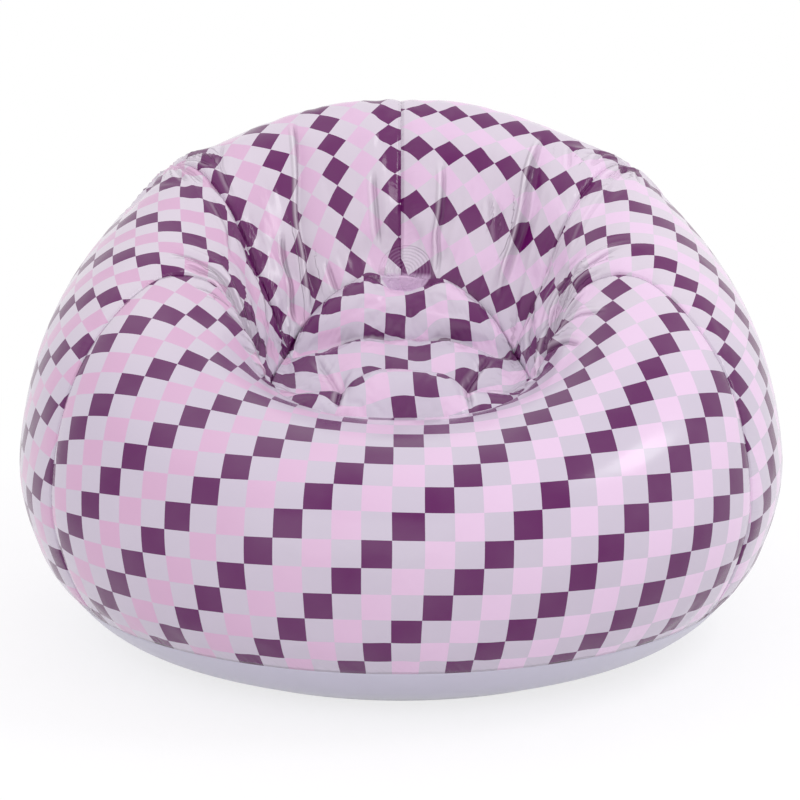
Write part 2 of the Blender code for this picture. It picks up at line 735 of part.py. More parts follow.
def valve_cap(spot, rim_top, surface):
    low = rim_top + VALVE_FIT
    lip_outer = VALVE_PLUG_BORE_RADIUS - CAP_LIP
    lip_inner = lip_outer - CAP_LIP
    outline = [
        (0, low), (lip_inner, low), (lip_inner, low - CAP_LIP_REACH),
        (lip_outer, low - CAP_LIP_REACH), (lip_outer, low), (CAP_RADIUS, low),
        (CAP_RADIUS, low + CAP), (0, low + CAP)]
    made = lathe("valve_cap", outline, surface)
    side = CAP_TAB_WIDTH / 2
    tab = block("cap_tab_tool", (-side, -cap_axis_reach(), low + INSET),
                (side, CAP_TAB_ROOT - CAP_RADIUS, low + CAP - INSET), surface)
    axis = (0.0, -cap_axis_reach(), rim_top + VALVE_FIT / 2)
    set_down(tab, spot)
    combine(made, tab, "UNION")
    set_down(made, spot, axis)


def valve_flap(spot, surface):
    high = -VALVE_PLUG_REACH - VALVE_FIT
    made = disc("valve_flap", FLAP_RADIUS, high - FLAP, high, surface)
    set_down(made, spot, (0.0, -FLAP_RADIUS, high))


def build():
    clear_scene()
    names = ("front_panel", "left_arm_panel", "right_arm_panel", "left_back_panel",
             "right_back_panel")
    spans = ((-FRONT_SEAM, FRONT_SEAM), (-BACK_SEAM, -FRONT_SEAM), (FRONT_SEAM, BACK_SEAM),
             (-REAR, -BACK_SEAM), (BACK_SEAM, REAR))
    made = {}
    for name, (first, last) in zip(names, spans):
        made[name] = wall_panel(name, first, last, material(name, PRINT, 0.28))
    seat_panel(material("seat_panel", PRINT, 0.28))
    bottom_panel(material("bottom_panel", PLAIN, 0.35))
    tie = material("tie_vinyl", CLEAR, 0.35)
    seat_ties(tie)
    lumbar_tie(tie)
    clear = material("valve_vinyl", CLEAR, 0.25)
    milky = material("valve_rubber", MILKY, 0.5)
    hole = valve(clear, milky, tie)
    combine(made["right_back_panel"], hole, "DIFFERENCE")


build()
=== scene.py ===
"""Dressing of the inflatable lounge chair.

The printed vinyl panels are drawn again at full detail, with their creased
seams, folds, tufts and flat-cut print. Metres, +Z up, open front at -Y.
Left and right are as seen from the front: left is -X, right is +X.
"""
import json
import math

import bpy
import numpy as np
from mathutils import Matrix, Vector


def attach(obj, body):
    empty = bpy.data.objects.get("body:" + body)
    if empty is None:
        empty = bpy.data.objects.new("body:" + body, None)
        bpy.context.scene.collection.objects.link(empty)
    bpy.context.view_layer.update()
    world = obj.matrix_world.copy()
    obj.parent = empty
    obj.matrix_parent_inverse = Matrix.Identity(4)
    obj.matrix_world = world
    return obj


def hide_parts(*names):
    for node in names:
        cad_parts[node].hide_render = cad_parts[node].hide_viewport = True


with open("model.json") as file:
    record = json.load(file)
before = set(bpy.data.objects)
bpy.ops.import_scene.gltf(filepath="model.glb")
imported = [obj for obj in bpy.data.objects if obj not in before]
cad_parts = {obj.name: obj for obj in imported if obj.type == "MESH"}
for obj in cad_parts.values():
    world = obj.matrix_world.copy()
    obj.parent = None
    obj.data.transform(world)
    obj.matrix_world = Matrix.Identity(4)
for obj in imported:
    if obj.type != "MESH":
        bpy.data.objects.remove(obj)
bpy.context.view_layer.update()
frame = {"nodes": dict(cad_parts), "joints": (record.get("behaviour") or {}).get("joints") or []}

WIDTH, DEPTH, HEIGHT = 1.07, 1.04, 0.71
SIZE = np.array((WIDTH, DEPTH, HEIGHT))
# Columns count round the chair from the middle of the front, to 30 and -30 at
# the rear. Rows count up from the floor, to the seam round the seat at 10.
FRONT_SEAM, BACK_SEAM, REAR = 10, 20, 30
BOTTOM_SEAM, SEAT_SEAM = 2, 10
KNOTS = (0, FRONT_SEAM, BACK_SEAM, REAR)
SIDE_SEAMS = (-BACK_SEAM, -FRONT_SEAM, FRONT_SEAM, BACK_SEAM, REAR, -REAR)
# The seat has 20 cells each way. FINE is the parts of a column or of a cell.
SEAT_CELLS, FINE = 20, 9
ROW_STEP = 0.0062
WALL_STEP = 1e-3
WELD_EDGE = 0.008
# The cloth copies: frames run, fine points per coarse one, spare length, and
# the height that a wrinkle is capped at. Then the steps in a frame and the
# stiffness of the film. Then the air, the unevenness that the copies start
# with, and the turns of smoothing that part large swells from fine wrinkles.
CLOTH_FRAMES, CLOTH_STRIDE, CLOTH_SPARE, CLOTH_CAP = 20, 3, 0.03, 0.006
CLOTH_QUALITY, CLOTH_STRETCH, CLOTH_SHEAR, CLOTH_BEND = 5, 25, 8, 0.3
AIR_PRESSURE, CLOTH_START, CLOTH_SMOOTHING = 4, 0.0004, 12
# How slack each panel is from its bottom seam up to the seat: rows, shares.
CLOTH_SLACK = {
    "front_panel": ((2, 6, 8.5, 10), (0.25, 0.05, 0.10, 0.3)),
    "left_arm_panel": ((2, 5, 7, 10), (0.3, 0.15, 0.30, 0.3)),
    "right_arm_panel": ((2, 5, 7, 10), (0.3, 0.15, 0.30, 0.3)),
    "left_back_panel": ((2, 5, 7, 10), (0.3, 0.2, 0.5, 0.8)),
    "right_back_panel": ((2, 5, 7, 10), (0.3, 0.2, 0.4, 0.8)),
}
SEAT_SLACK = 0.8

# Rings from the floor up, in shares of the size: half width, front, rear,
# widest place, squareness, and heights from the front round to the rear.
RING_SHARES = (
    (0.3271, -0.3413, 0.3462, 0.000, 1.00, (0.000, 0.000, 0.000, 0.000, 0.000)),
    (0.3991, -0.4060, 0.4106, 0.000, 1.00, (0.044, 0.044, 0.044, 0.044, 0.044)),
    (0.4430, -0.4471, 0.4500, 0.000, 0.99, (0.106, 0.106, 0.106, 0.106, 0.106)),
    (0.4785, -0.4827, 0.4827, 0.000, 0.97, (0.190, 0.190, 0.194, 0.197, 0.197)),
    (0.5000, -0.5000, 0.5023, 0.000, 0.95, (0.317, 0.331, 0.366, 0.387, 0.394)),
    (0.4673, -0.4712, 0.4731, 0.010, 0.94, (0.425, 0.479, 0.592, 0.684, 0.715)),
    (0.4000, -0.3962, 0.4154, 0.019, 0.93, (0.486, 0.563, 0.725, 0.860, 0.918)),
    (0.3178, -0.3058, 0.3346, 0.029, 0.90, (0.503, 0.590, 0.780, 0.928, 1.002)),
    (0.2430, -0.2404, 0.2673, 0.019, 0.85, (0.497, 0.553, 0.735, 0.878, 0.956)),
    (0.1981, -0.2048, 0.2135, 0.010, 0.77, (0.484, 0.513, 0.641, 0.749, 0.822)),
)
# Degrees round the chair of the front and back seams, ring by ring.
SEAM_ANGLES = (
    (60, 136), (60, 136), (60, 136), (60, 135), (60, 133),
    (63, 130), (69, 126), (76, 119), (82, 112), (80, 109),
)
# The seam round the seat at its middle front, front corner, back seam and rear,
# and the seat's middle line: share of the way back, then depth and height.
SEAT_FRONT = np.array((0.0, -0.1846, 0.4732))
SEAT_CORNER = np.array((0.1710, -0.1250, 0.4958))
SEAT_SIDE = np.array((0.1495, 0.0529, 0.5303))
SEAT_REAR = np.array((0.0, 0.1519, 0.6592))
SEAT_LINE = np.array((
    (0.00, -0.1846, 0.4732), (0.08, -0.1587, 0.5035), (0.16, -0.1250, 0.5155),
    (0.24, -0.0962, 0.5085), (0.32, -0.0692, 0.4986), (0.40, -0.0365, 0.5148),
    (0.48, 0.0000, 0.5331), (0.56, 0.0385, 0.5514), (0.62, 0.0635, 0.5549),
    (0.68, 0.0827, 0.5465), (0.74, 0.0885, 0.5662), (0.80, 0.0942, 0.5972),
    (0.86, 0.1038, 0.6254), (0.93, 0.1250, 0.6521), (1.00, 0.1519, 0.6592),
))
SEAT_FRONT_BOW, SEAT_SIDE_SWELL, SEAT_REAR_BOW = 0.12, 0.019, 0.25
PILLOW_MIDDLE, PILLOW_SIZE, PILLOW_HEIGHT = -0.100, (0.082, 0.058), 0.025
SEAT_TUFTS = LEFT_TUFT, RIGHT_TUFT = (-0.078, -0.082), (0.084, -0.064)
TUFT_DEPTH, TUFT_WIDTH, STAR_HEIGHT, STAR_REACH = 0.026, 0.024, 0.0030, 0.03
# Creases of the seat: the places they run through, depth and width.
SEAT_CREASES = (
    ((LEFT_TUFT, (-0.045, -0.052), (0.0, -0.040), (0.045, -0.042), RIGHT_TUFT), 0.016, 0.013),
    ((LEFT_TUFT, (-0.125, -0.080), (-0.165, -0.090)), 0.012, 0.016),
    ((RIGHT_TUFT, (0.130, -0.070), (0.168, -0.085)), 0.012, 0.016),
    ((LEFT_TUFT, (-0.082, -0.130), (-0.086, -0.175)), 0.009, 0.012),
    ((RIGHT_TUFT, (0.090, -0.120), (0.094, -0.175)), 0.009, 0.012),
    ((LEFT_TUFT, (-0.100, -0.035), (-0.120, 0.010)), 0.005, 0.012),
    ((RIGHT_TUFT, (0.105, -0.025), (0.125, 0.015)), 0.005, 0.012),
)
# Fold of the seat under the lumbar bulge: row, rows it bends, depth.
FOLD_ROW, FOLD_BEND, FOLD_DEPTH = 14.1, 5.0, 0.014
# The strap behind the centre seam: its weld, its pull and the dent it makes.
LUMBAR_TUFT = np.array((0.0, 0.1731, 0.6930)) * SIZE
LUMBAR_PULL = np.array((0.0, 0.929, -0.370))
LUMBAR_PULL = LUMBAR_PULL / np.linalg.norm(LUMBAR_PULL)
TUFT_DISC = (0.007, 0.174, 0.477)
TUFT_RADIUS, TUFT_RING_PITCH = 0.040, 0.0050
LUMBAR_REACH = 0.12
DENT_DEPTH, DENT_RADIUS, DENT_SOFTNESS = 0.018, 0.045, 0.01125
DIP_PLACE, DIP_WIDTH, DIP_HEIGHT = (0.158, 0.468), 0.045, 0.03
SEAM_DIP = np.array((0.0, -0.0072, -0.0131))

# The valve in the right back panel: the hole, the rings of the grid drawn
# round it, the flange, and how far the tufts and the flange hold the film.
VALVE_COLUMN = 25
VALVE_HOLE_RADIUS = 0.0228
VALVE_RINGS, VALVE_RING_STEP = (4, 10), 0.0058
FLANGE_LIFT, FLANGE_RADIUS, FLANGE_EDGE = 0.0005, 0.031, 0.003
SEAT_TUFT_HOLD, FLANGE_HOLD = 0.014, 0.055

SEAM_DEPTHS = ((FRONT_SEAM, 0.0075), (BACK_SEAM, 0.0085), (REAR, 0.0055))
SHOULDER_ROW, SHOULDER_HEIGHT, BACK_OVER_ARM = 6, 0.016, 0.0050
WELD_CALM = 0.12
BOTTOM_ROWS = 25

PANELS = {
    "front_panel": (-FRONT_SEAM, FRONT_SEAM),
    "left_arm_panel": (-BACK_SEAM, -FRONT_SEAM), "right_arm_panel": (FRONT_SEAM, BACK_SEAM),
    "left_back_panel": (-REAR, -BACK_SEAM), "right_back_panel": (BACK_SEAM, REAR),
}
# Folds of the skin: shape, height, width, and the columns and rows they follow.
# A pleat stands up on its higher-column side, a crease sinks in. Most places
# were read off the photograph by eye and turned into columns and rows by a
# separate program, and some were then moved by hand.
FOLDS = {
    "left_back_panel": (
        ("pleat", 0.0130, 0.040, ((-25.6, 7.3), (-25.2, 8.0), (-24.9, 8.46), (-24.4, 8.9),
                                  (-23.9, 9.40), (-23.0, 9.97))),
        ("crease", 0.0090, 0.011, ((-22.9, 8.9), (-22.3, 9.42), (-21.5, 9.9))),
        ("crease", 0.0060, 0.008, ((-29.1, 8.7), (-29.1, 9.16), (-29.0, 9.6))),
        ("crease", 0.0050, 0.008, ((-25.4, 9.55), (-25.4, 9.95))),
        ("crease", 0.0030, 0.007, ((-22.2, 6.9), (-21.0, 7.4), (-20.4, 8.0))),
    ),
    "right_back_panel": (
        ("pleat", 0.0110, 0.032, ((23.6, 7.3), (23.3, 8.14), (23.0, 8.61), (22.9, 9.2), (22.6, 9.7))),
        ("pleat", 0.0065, 0.018, ((28.4, 8.5), (28.3, 8.98), (28.1, 9.47), (27.5, 9.9))),
        ("crease", 0.0020, 0.0035, ((25.7, 8.8), (25.4, 9.08))),
        ("crease", 0.0022, 0.0035, ((25.2, 8.75), (24.8, 9.05), (24.2, 9.25))),
        ("crease", 0.0018, 0.0035, ((24.8, 8.79), (24.1, 9.09))),
        ("crease", 0.0025, 0.005, ((22.2, 7.2), (21.4, 7.6))),
        ("crease", 0.0025, 0.005, ((20.9, 6.8), (20.5, 7.3))),
    ),
    "left_arm_panel": (
        ("crease", 0.0025, 0.010, ((-18.6, 7.6), (-17.2, 8.10), (-14.4, 8.35))),
        ("crease", 0.0040, 0.008, ((-18.2, 8.3), (-18.9, 8.78), (-18.6, 9.2), (-17.0, 9.6))),
        ("pleat", 0.0040, 0.012, ((-10.9, 9.0), (-13.0, 9.4), (-14.5, 9.8))),
    ),
    "right_arm_panel": (
        ("crease", 0.0045, 0.010, ((11.4, 8.0), (13.4, 8.65), (14.0, 9.10), (13.6, 9.4))),
        ("crease", 0.0040, 0.008, ((19.0, 8.8), (19.3, 9.25), (18.2, 9.62), (15.6, 9.85))),
        ("crease", 0.0020, 0.012, ((18.8, 7.0), (16.5, 7.9), (15.0, 8.3))),
    ),
    "front_panel": (),
}
# Painted shade, painted highlight and bumps along a fold: how far they reach, the
# width they fade over, the distance written where there is no fold, and the height
# from which a fold and a crease of the seat mark fully. Then the width of a pleat's step.
FOLD_REACH, FOLD_FADE, NO_FOLD = 0.022, 0.008, 0.05
FULL_FOLD, FULL_CREASE, PLEAT_LIP = 0.008, 0.016, 0.0028
# Fans of wrinkles: column and row of their centre, reach, height, count, start.
FANS = (
    (-20, 6.35, 0.055, 0.0030, 9, 0.4), (20, 6.35, 0.055, 0.0030, 9, 1.9),
    (-10, 10.0, 0.080, 0.0026, 11, 0.8), (10, 10.0, 0.080, 0.0026, 11, 2.6),
    (-20, 10.0, 0.055, 0.0022, 9, 1.2), (20, 10.0, 0.055, 0.0022, 9, 0.1),
)
FAN_CORE = 0.012
# Wrinkles that run out of the corners of the seat and off the shoulders: seam
# column and row they start from, row they reach, columns they spread over,
# count and height.
RAYS = (
    (10, 10.0, 6.9, 5.0, 5, 0.0060), (20, 6.35, 7.5, 2.4, 3, 0.0030),
)
RAY_SWEEP, RAY_BEND, RAY_WIDTH, RAY_PLACES = 1.45, 0.35, 0.0070, (0.12, 0.40, 0.7, 1.0)
# Size of a printed square on each panel.
SQUARE = {
    "front_panel": 0.0349, "left_arm_panel": 0.0330, "right_arm_panel": 0.0330,
    "left_back_panel": 0.0325, "right_back_panel": 0.0335, "seat_panel": 0.0350,
}
# Purple squares of the print that are tied to places on the form: column, row,
# square across, square down. A separate program made this table: it worked the
# squares that show in the photograph back onto the form.
ANCHORS = {
    "front_panel": (
        (9.2, 7.51, 3, -15), (-8.0, 7.60, -18, -14), (6.4, 8.42, -2, -14), (-8.9, 6.44, -20, -12),
        (9.2, 6.37, 4, -12), (-6.4, 6.78, -17, -11), (-4.0, 7.00, -14, -10), (7.3, 6.18, 2, -10),
        (-7.6, 5.79, -19, -9), (-1.8, 7.04, -11, -9), (0.8, 6.99, -7, -9), (3.4, 6.53, -3, -9),
        (9.6, 5.36, 5, -9), (5.5, 5.78, 0, -8), (-8.9, 4.94, -21, -7), (-5.8, 5.39, -17, -7),
        (-3.0, 5.80, -13, -7), (-0.4, 5.96, -9, -7), (2.0, 5.86, -5, -7), (7.7, 5.08, 3, -7),
        (-7.1, 4.59, -19, -5), (-4.3, 4.84, -15, -5), (0.7, 5.00, -7, -5), (6.0, 4.63, 1, -5),
        (9.0, 4.38, 5, -5), (-2.3, 4.59, -12, -4), (2.6, 4.54, -4, -4), (-8.5, 3.95, -21, -3),
        (-0.4, 4.25, -9, -3), (4.6, 4.12, -1, -3), (-6.3, 3.75, -18, -2), (1.3, 3.85, -6, -2),
        (6.7, 3.67, 2, -2), (-9.9, 3.44, -23, -1), (-4.3, 3.46, -15, -1), (-1.7, 3.51, -11, -1),
        (9.0, 3.25, 5, -1), (-7.9, 3.00, -20, 0), (0.1, 3.14, -8, 0), (2.0, 2.65, -5, 1),
        (-6.7, 2.01, -18, 2), (-3.9, 2.05, -14, 2), (4.2, 2.08, -2, 2), (7.0, 2.01, 2, 2),
    ),
    "left_arm_panel": (
        (-18.5, 8.41, 0, -4), (-12.9, 8.60, 4, -4), (-17.3, 7.72, -1, -3), (-12.4, 8.04, 3, -3),
        (-17.5, 7.29, -2, -2), (-13.1, 7.57, 2, -2), (-17.9, 6.81, -3, -1), (-13.6, 7.13, 1, -1),
        (-10.1, 7.24, 5, -1), (-14.5, 6.75, 0, 0), (-11.5, 6.83, 4, 0), (-15.4, 6.36, -1, 1),
        (-12.7, 6.47, 3, 1), (-13.5, 6.14, 2, 2), (-11.1, 6.20, 6, 2), (-12.2, 5.81, 5, 3),
        (-13.0, 5.49, 4, 4), (-10.3, 5.61, 8, 4), (-11.2, 5.32, 7, 5), (-12.0, 5.02, 6, 6),
    ),
    "right_arm_panel": (
        (16.9, 8.15, 3, -7), (14.5, 7.76, 2, -6), (19.6, 7.55, 6, -6), (19.6, 7.55, 6, -6),
        (12.8, 7.41, 1, -5), (17.0, 7.22, 5, -5), (11.9, 7.04, 0, -4), (15.4, 6.92, 4, -4),
        (11.6, 6.66, -1, -3), (14.5, 6.59, 3, -3), (11.4, 6.33, -2, -2), (14.0, 6.33, 2, -2),
        (11.1, 6.02, -3, -1), (13.7, 5.93, 1, -1), (10.9, 5.70, -4, 0), (13.3, 5.64, 0, 0),
        (10.6, 5.43, -5, 1), (12.9, 5.38, -1, 1), (12.5, 5.12, -2, 2),
    ),
    "left_back_panel": (
        (-29.6, 9.70, -1, -11), (-30.0, 9.29, -2, -10), (-27.2, 9.77, 1, -9), (-29.8, 8.51, -4, -8),
        (-27.2, 9.39, 0, -8), (-27.3, 8.98, -1, -7), (-23.6, 9.71, 3, -7), (-20.3, 9.91, 7, -7),
        (-29.7, 7.76, -6, -6), (-27.2, 8.57, -2, -6), (-23.9, 9.31, 2, -6), (-27.1, 8.18, -3, -5),
        (-24.2, 8.80, 1, -5), (-27.0, 7.76, -4, -4), (-24.0, 8.45, 0, -4), (-20.1, 8.90, 4, -4),
        (-23.8, 7.99, -1, -3), (-23.9, 7.56, -2, -2), (-20.0, 8.07, 2, -2), (-20.6, 7.20, 0, 0),
    ),
    "right_back_panel": (
        (26.3, 9.89, -2, -6), (29.6, 9.14, 2, -6), (28.0, 9.18, 1, -5), (26.4, 9.15, 0, -4),
        (29.5, 8.36, 4, -4), (20.2, 9.51, -5, -3), (24.5, 9.06, -1, -3), (28.2, 8.39, 3, -3),
        (22.9, 8.95, -2, -2), (26.5, 8.33, 2, -2), (29.4, 7.67, 6, -2), (20.9, 8.79, -3, -1),
        (24.6, 8.21, 1, -1), (28.1, 7.70, 5, -1), (23.0, 8.05, 0, 0), (26.6, 7.64, 4, 0),
        (21.2, 7.85, -1, 1), (25.2, 7.56, 3, 1), (20.0, 7.57, -2, 2), (23.5, 7.40, 2, 2),
    ),
    "seat_panel": (
        (8.0, 19.11, -1, -11), (6.5, 18.57, -2, -10), (4.6, 18.83, -3, -9), (11.0, 15.54, 1, -9),
        (2.8, 19.11, -4, -8), (15.9, 18.60, 4, -8), (6.5, 15.36, -2, -6), (12.8, 14.91, 2, -6),
        (11.2, 10.04, 1, -5), (19.3, 18.71, 5, -5), (2.7, 14.42, -4, -4), (16.5, 13.56, 4, -4),
        (0.9, 11.16, -5, -3), (8.1, 8.73, -1, -3), (14.6, 9.81, 3, -3), (6.9, 2.37, -2, -2),
        (13.0, 2.83, 2, -2), (5.3, 3.06, -3, -1), (11.6, 2.06, 1, -1), (18.7, 3.86, 5, -1),
        (3.7, 1.89, -4, 0), (10.2, 0.97, 0, 0), (16.9, 2.15, 4, 0), (15.3, 0.63, 3, 1),
    ),
}
PRINT_ROWS, SEAT_PRINT_FINE = 4, 2
ANCHOR_PULL, FLAT_TURNS = 30.0, 40

COAT_ROUGHNESS = 0.12
WHITE, ROOM_LIGHT = (1, 1, 1, 1), 0.80
FLOOR_HALF, FLOOR_GAP = 9, 0.0005
FOCAL_PIXELS, FRAME_PIXELS, SHIFT_PIXELS, SENSOR_WIDTH = 2400, 800, -1, 36.0
CAMERA_RISE, CAMERA_AIM, CAMERA_DISTANCE = 13, (0, 0, 0.32), 3.4


def unit(vectors):
    return vectors / (np.linalg.norm(vectors, axis=-1, keepdims=True) + 1e-12)


def eased(share):
    return share * share * (3 - 2 * share)


def run_on(values):
    """Values with one more at each end, straight on from the last two."""
    return np.concatenate([2 * values[:1] - values[1:2], values, 2 * values[-1:] - values[-2:-1]])


def curve_through(a, b, c, d, part):
    """Smooth curve from b to c, with slopes from the values on both sides."""
    square = 2 * a - 5 * b + 4 * c - d
    cubic = 3 * b - 3 * c + d - a
    return 0.5 * (2 * b + (c - a) * part + square * part**2 + cubic * part**3)


def seat_seam(columns):
    """Points of the seam round the seat, corner to corner in three curves."""
    around = np.abs(columns)
    first = np.clip(around / FRONT_SEAM, 0, 1)
    second = np.clip((around - FRONT_SEAM) / (BACK_SEAM - FRONT_SEAM), 0, 1)
    third = np.clip((REAR - around) / (REAR - BACK_SEAM), 0, 1)
    bow = 1 + SEAT_FRONT_BOW * (1 - first**2)
    x = np.where(around <= FRONT_SEAM, SEAT_CORNER[0] * first * bow, 0.0)
    y = SEAT_FRONT[1] + (SEAT_CORNER[1] - SEAT_FRONT[1]) * first**4
    z = SEAT_FRONT[2] + (SEAT_CORNER[2] - SEAT_FRONT[2]) * first**3
    beside = (around > FRONT_SEAM) & (around <= BACK_SEAM)
    swell = SEAT_SIDE_SWELL * second * (1 - second)
    x = np.where(beside, SEAT_CORNER[0] + (SEAT_SIDE[0] - SEAT_CORNER[0]) * second + swell, x)
    y = np.where(beside, SEAT_CORNER[1] + (SEAT_SIDE[1] - SEAT_CORNER[1]) * second, y)
    z = np.where(beside, SEAT_CORNER[2] + (SEAT_SIDE[2] - SEAT_CORNER[2]) * second, z)
    behind = around > BACK_SEAM
    bow = 1 + SEAT_REAR_BOW * (1 - third**2)
    x = np.where(behind, SEAT_SIDE[0] * third * bow, x)
    y = np.where(behind, SEAT_REAR[1] + (SEAT_SIDE[1] - SEAT_REAR[1]) * third**2.2, y)
    z = np.where(behind, SEAT_REAR[2] + (SEAT_SIDE[2] - SEAT_REAR[2]) * third**1.5, z)
    x = np.where(around == REAR, 0.0, x * np.sign(columns))
    return np.stack([x, y, z], -1) * SIZE


def ring_points(index, columns):
    if index == SEAT_SEAM:
        return seat_seam(columns)
    half, front, rear, middle, square, heights = RING_SHARES[index]
    knots = (0,) + SEAM_ANGLES[index] + (180,)
    angle = np.radians(np.sign(columns) * np.interp(np.abs(columns), KNOTS, knots))
    sine, cosine = np.sin(angle), np.cos(angle)
    x = half * np.sign(sine) * np.abs(sine) ** square
    reach = np.where(cosine > 0, front - middle, rear - middle)
    y = middle + reach * np.abs(cosine) ** square
    orders = np.arange(5)
    basis = np.cos(np.outer(np.radians((0, 45, 90, 135, 180)), orders))
    series = np.linalg.solve(basis, np.array(heights))
    z = np.cos(angle[..., None] * orders) @ series
    return np.stack([x, y, z], -1) * SIZE


def smooth_wall(columns, rows):
    rings = run_on(np.stack([ring_points(k, columns) for k in range(SEAT_SEAM + 1)]))
    low = np.clip(np.floor(rows).astype(int), 0, SEAT_SEAM - 1)
    index = np.indices(rows.shape)
    four = (rings[(low + k, *index)] for k in range(4))
    return curve_through(*four, (rows - low)[..., None])


def wall_steps(columns, rows):
    """How far the wall goes in two short steps along its row and its column."""
    along = smooth_wall(columns + WALL_STEP, rows) - smooth_wall(columns - WALL_STEP, rows)
    up = smooth_wall(columns, rows + WALL_STEP) - smooth_wall(columns, rows - WALL_STEP)
    return along, up


def wall_normal(columns, rows):
    return unit(np.cross(*wall_steps(columns, rows)))


def metres_along(columns, rows):
    """Length of one column and of one row at each place on the wall."""
    along, up = wall_steps(columns, rows)
    wide, high = np.linalg.norm(along, axis=-1), np.linalg.norm(up, axis=-1)
    return wide / (2 * WALL_STEP), high / (2 * WALL_STEP)


def lumbar_side(points):
    """Metres from the axis of the lumbar strap, and which points are near it."""
    away = points - LUMBAR_TUFT
    along = away @ LUMBAR_PULL
    side = np.linalg.norm(away - along[..., None] * LUMBAR_PULL, axis=-1)
    return side, np.abs(along) < LUMBAR_REACH


def lumbar_dent(points):
    """Points pulled in by the lumbar strap, with a dip in the seam before it."""
    side, near = lumbar_side(points)
    fall = 1 / (1 + np.exp((side - DENT_RADIUS) / DENT_SOFTNESS))
    gap = np.hypot(points[..., 1] - DIP_PLACE[0], points[..., 2] - DIP_PLACE[1])
    dip = np.exp(-(((points[..., 0] - TUFT_DISC[0]) / DIP_WIDTH) ** 4) - (gap / DIP_HEIGHT) ** 2)
    return points + LUMBAR_PULL * (DENT_DEPTH * near * fall)[..., None] + SEAM_DIP * dip[..., None]


def even_rows():
    """Rows from the bottom seam to the seat seam, evenly spaced over the skin."""
    rows = np.linspace(BOTTOM_SEAM, SEAT_SEAM, 801)
    columns = np.array((0.0, 5.0, 15.0, 25.0, 30.0))
    grid = smooth_wall(*np.meshgrid(columns, rows))
    way = np.linalg.norm(np.diff(grid, axis=0), axis=-1)
    mixed = np.cumsum(np.r_[0, (way / way.sum(0)).mean(1)])
    count = int(way.sum(0).mean() / ROW_STEP)
    count += count % 2
    return np.interp(np.linspace(0, mixed[-1], count + 1), mixed, rows)


ROWS = even_rows()


def seam_relief(columns, rows):
    """Seams creased on their welds, and the ridge of each shoulder.

    Above the shoulder the back stands a little over the arm.
    """
    around = np.abs(columns)
    open_rows = np.clip((rows - BOTTOM_SEAM) / 0.8, 0, 1) * np.clip((SEAT_SEAM - rows) / 0.7, 0, 1)
    lift = np.zeros(columns.shape)
    for seam, depth in SEAM_DEPTHS:
        away = np.abs(around - seam)
        lift -= depth * np.exp(-away / 0.45) * open_rows
    shoulder = np.exp(-(((rows - SHOULDER_ROW) / 0.9) ** 2))
    ridge = np.exp(-(((around - BACK_SEAM) / 1.3) ** 2)) * shoulder
    inside = np.clip((rows - 6.3) / 0.6, 0, 1) * np.clip((SEAT_SEAM - rows) / 0.5, 0, 1)
    over = np.tanh((around - BACK_SEAM) / 0.2) * np.exp(-np.abs(around - BACK_SEAM) / 0.8)
    return lift + SHOULDER_HEIGHT * ridge + BACK_OVER_ARM * over * inside


def line_distance(points, line):
    """Distance to a line through places in space, and how far along it, 0 to 1."""
    lengths = np.linalg.norm(np.diff(line, axis=0), axis=1)
    starts = np.cumsum(np.r_[0, lengths])
    best = np.full(points.shape[:-1], 9.0)
    share = np.zeros(points.shape[:-1])
    for start, end, length, begun in zip(line[:-1], line[1:], lengths, starts):
        part = np.clip((points - start) @ (end - start) / length**2, 0, 1)
        away = np.linalg.norm(points - start - part[..., None] * (end - start), axis=-1)
        share = np.where(away < best, (begun + part * length) / starts[-1], share)
        best = np.minimum(best, away)
    return best, share


def near_fold(away):
    """1 on a fold, and 0 where its bumps, painted shade and painted highlight end."""
    return np.clip((FOLD_REACH - away) / FOLD_FADE, 0, 1)


def with_fold(layer, away, side, strength):
    """The layer of metres and strength, with one more fold where it is nearest."""
    across = np.stack([side * away, strength], -1)
    return np.where((away < np.abs(layer[..., 0]))[..., None], across, layer)


def corner_rays(name):
    """Creases of a panel that fan out of the corners it touches."""
    first, last = PANELS[name]
    rays = []
    for seam, start, reach, spread, count, height in RAYS:
        for side, way in ((-1, -1), (-1, 1), (1, -1), (1, 1)):
            chance = np.random.default_rng(int(900 + 7 * seam * side + way + start))
            turns = (np.arange(count) + chance.uniform(0.1, 0.9, count)) / count * RAY_SWEEP
            lengths = chance.uniform(0.65, 1.0, count)
            if not first <= seam * side + way <= last:
                continue
            corner = np.array((seam * side, start))
            for turn, length in zip(turns, lengths):
                out = np.array((way * spread * math.sin(turn), (reach - start) * math.cos(turn)))
                bend = np.array((way * RAY_BEND, 0.0)) * length
                places = [corner + out * length * k + bend * k * (1 - k) for k in RAY_PLACES]
                rays.append(("crease", height * length, RAY_WIDTH, places))
    return tuple(rays)


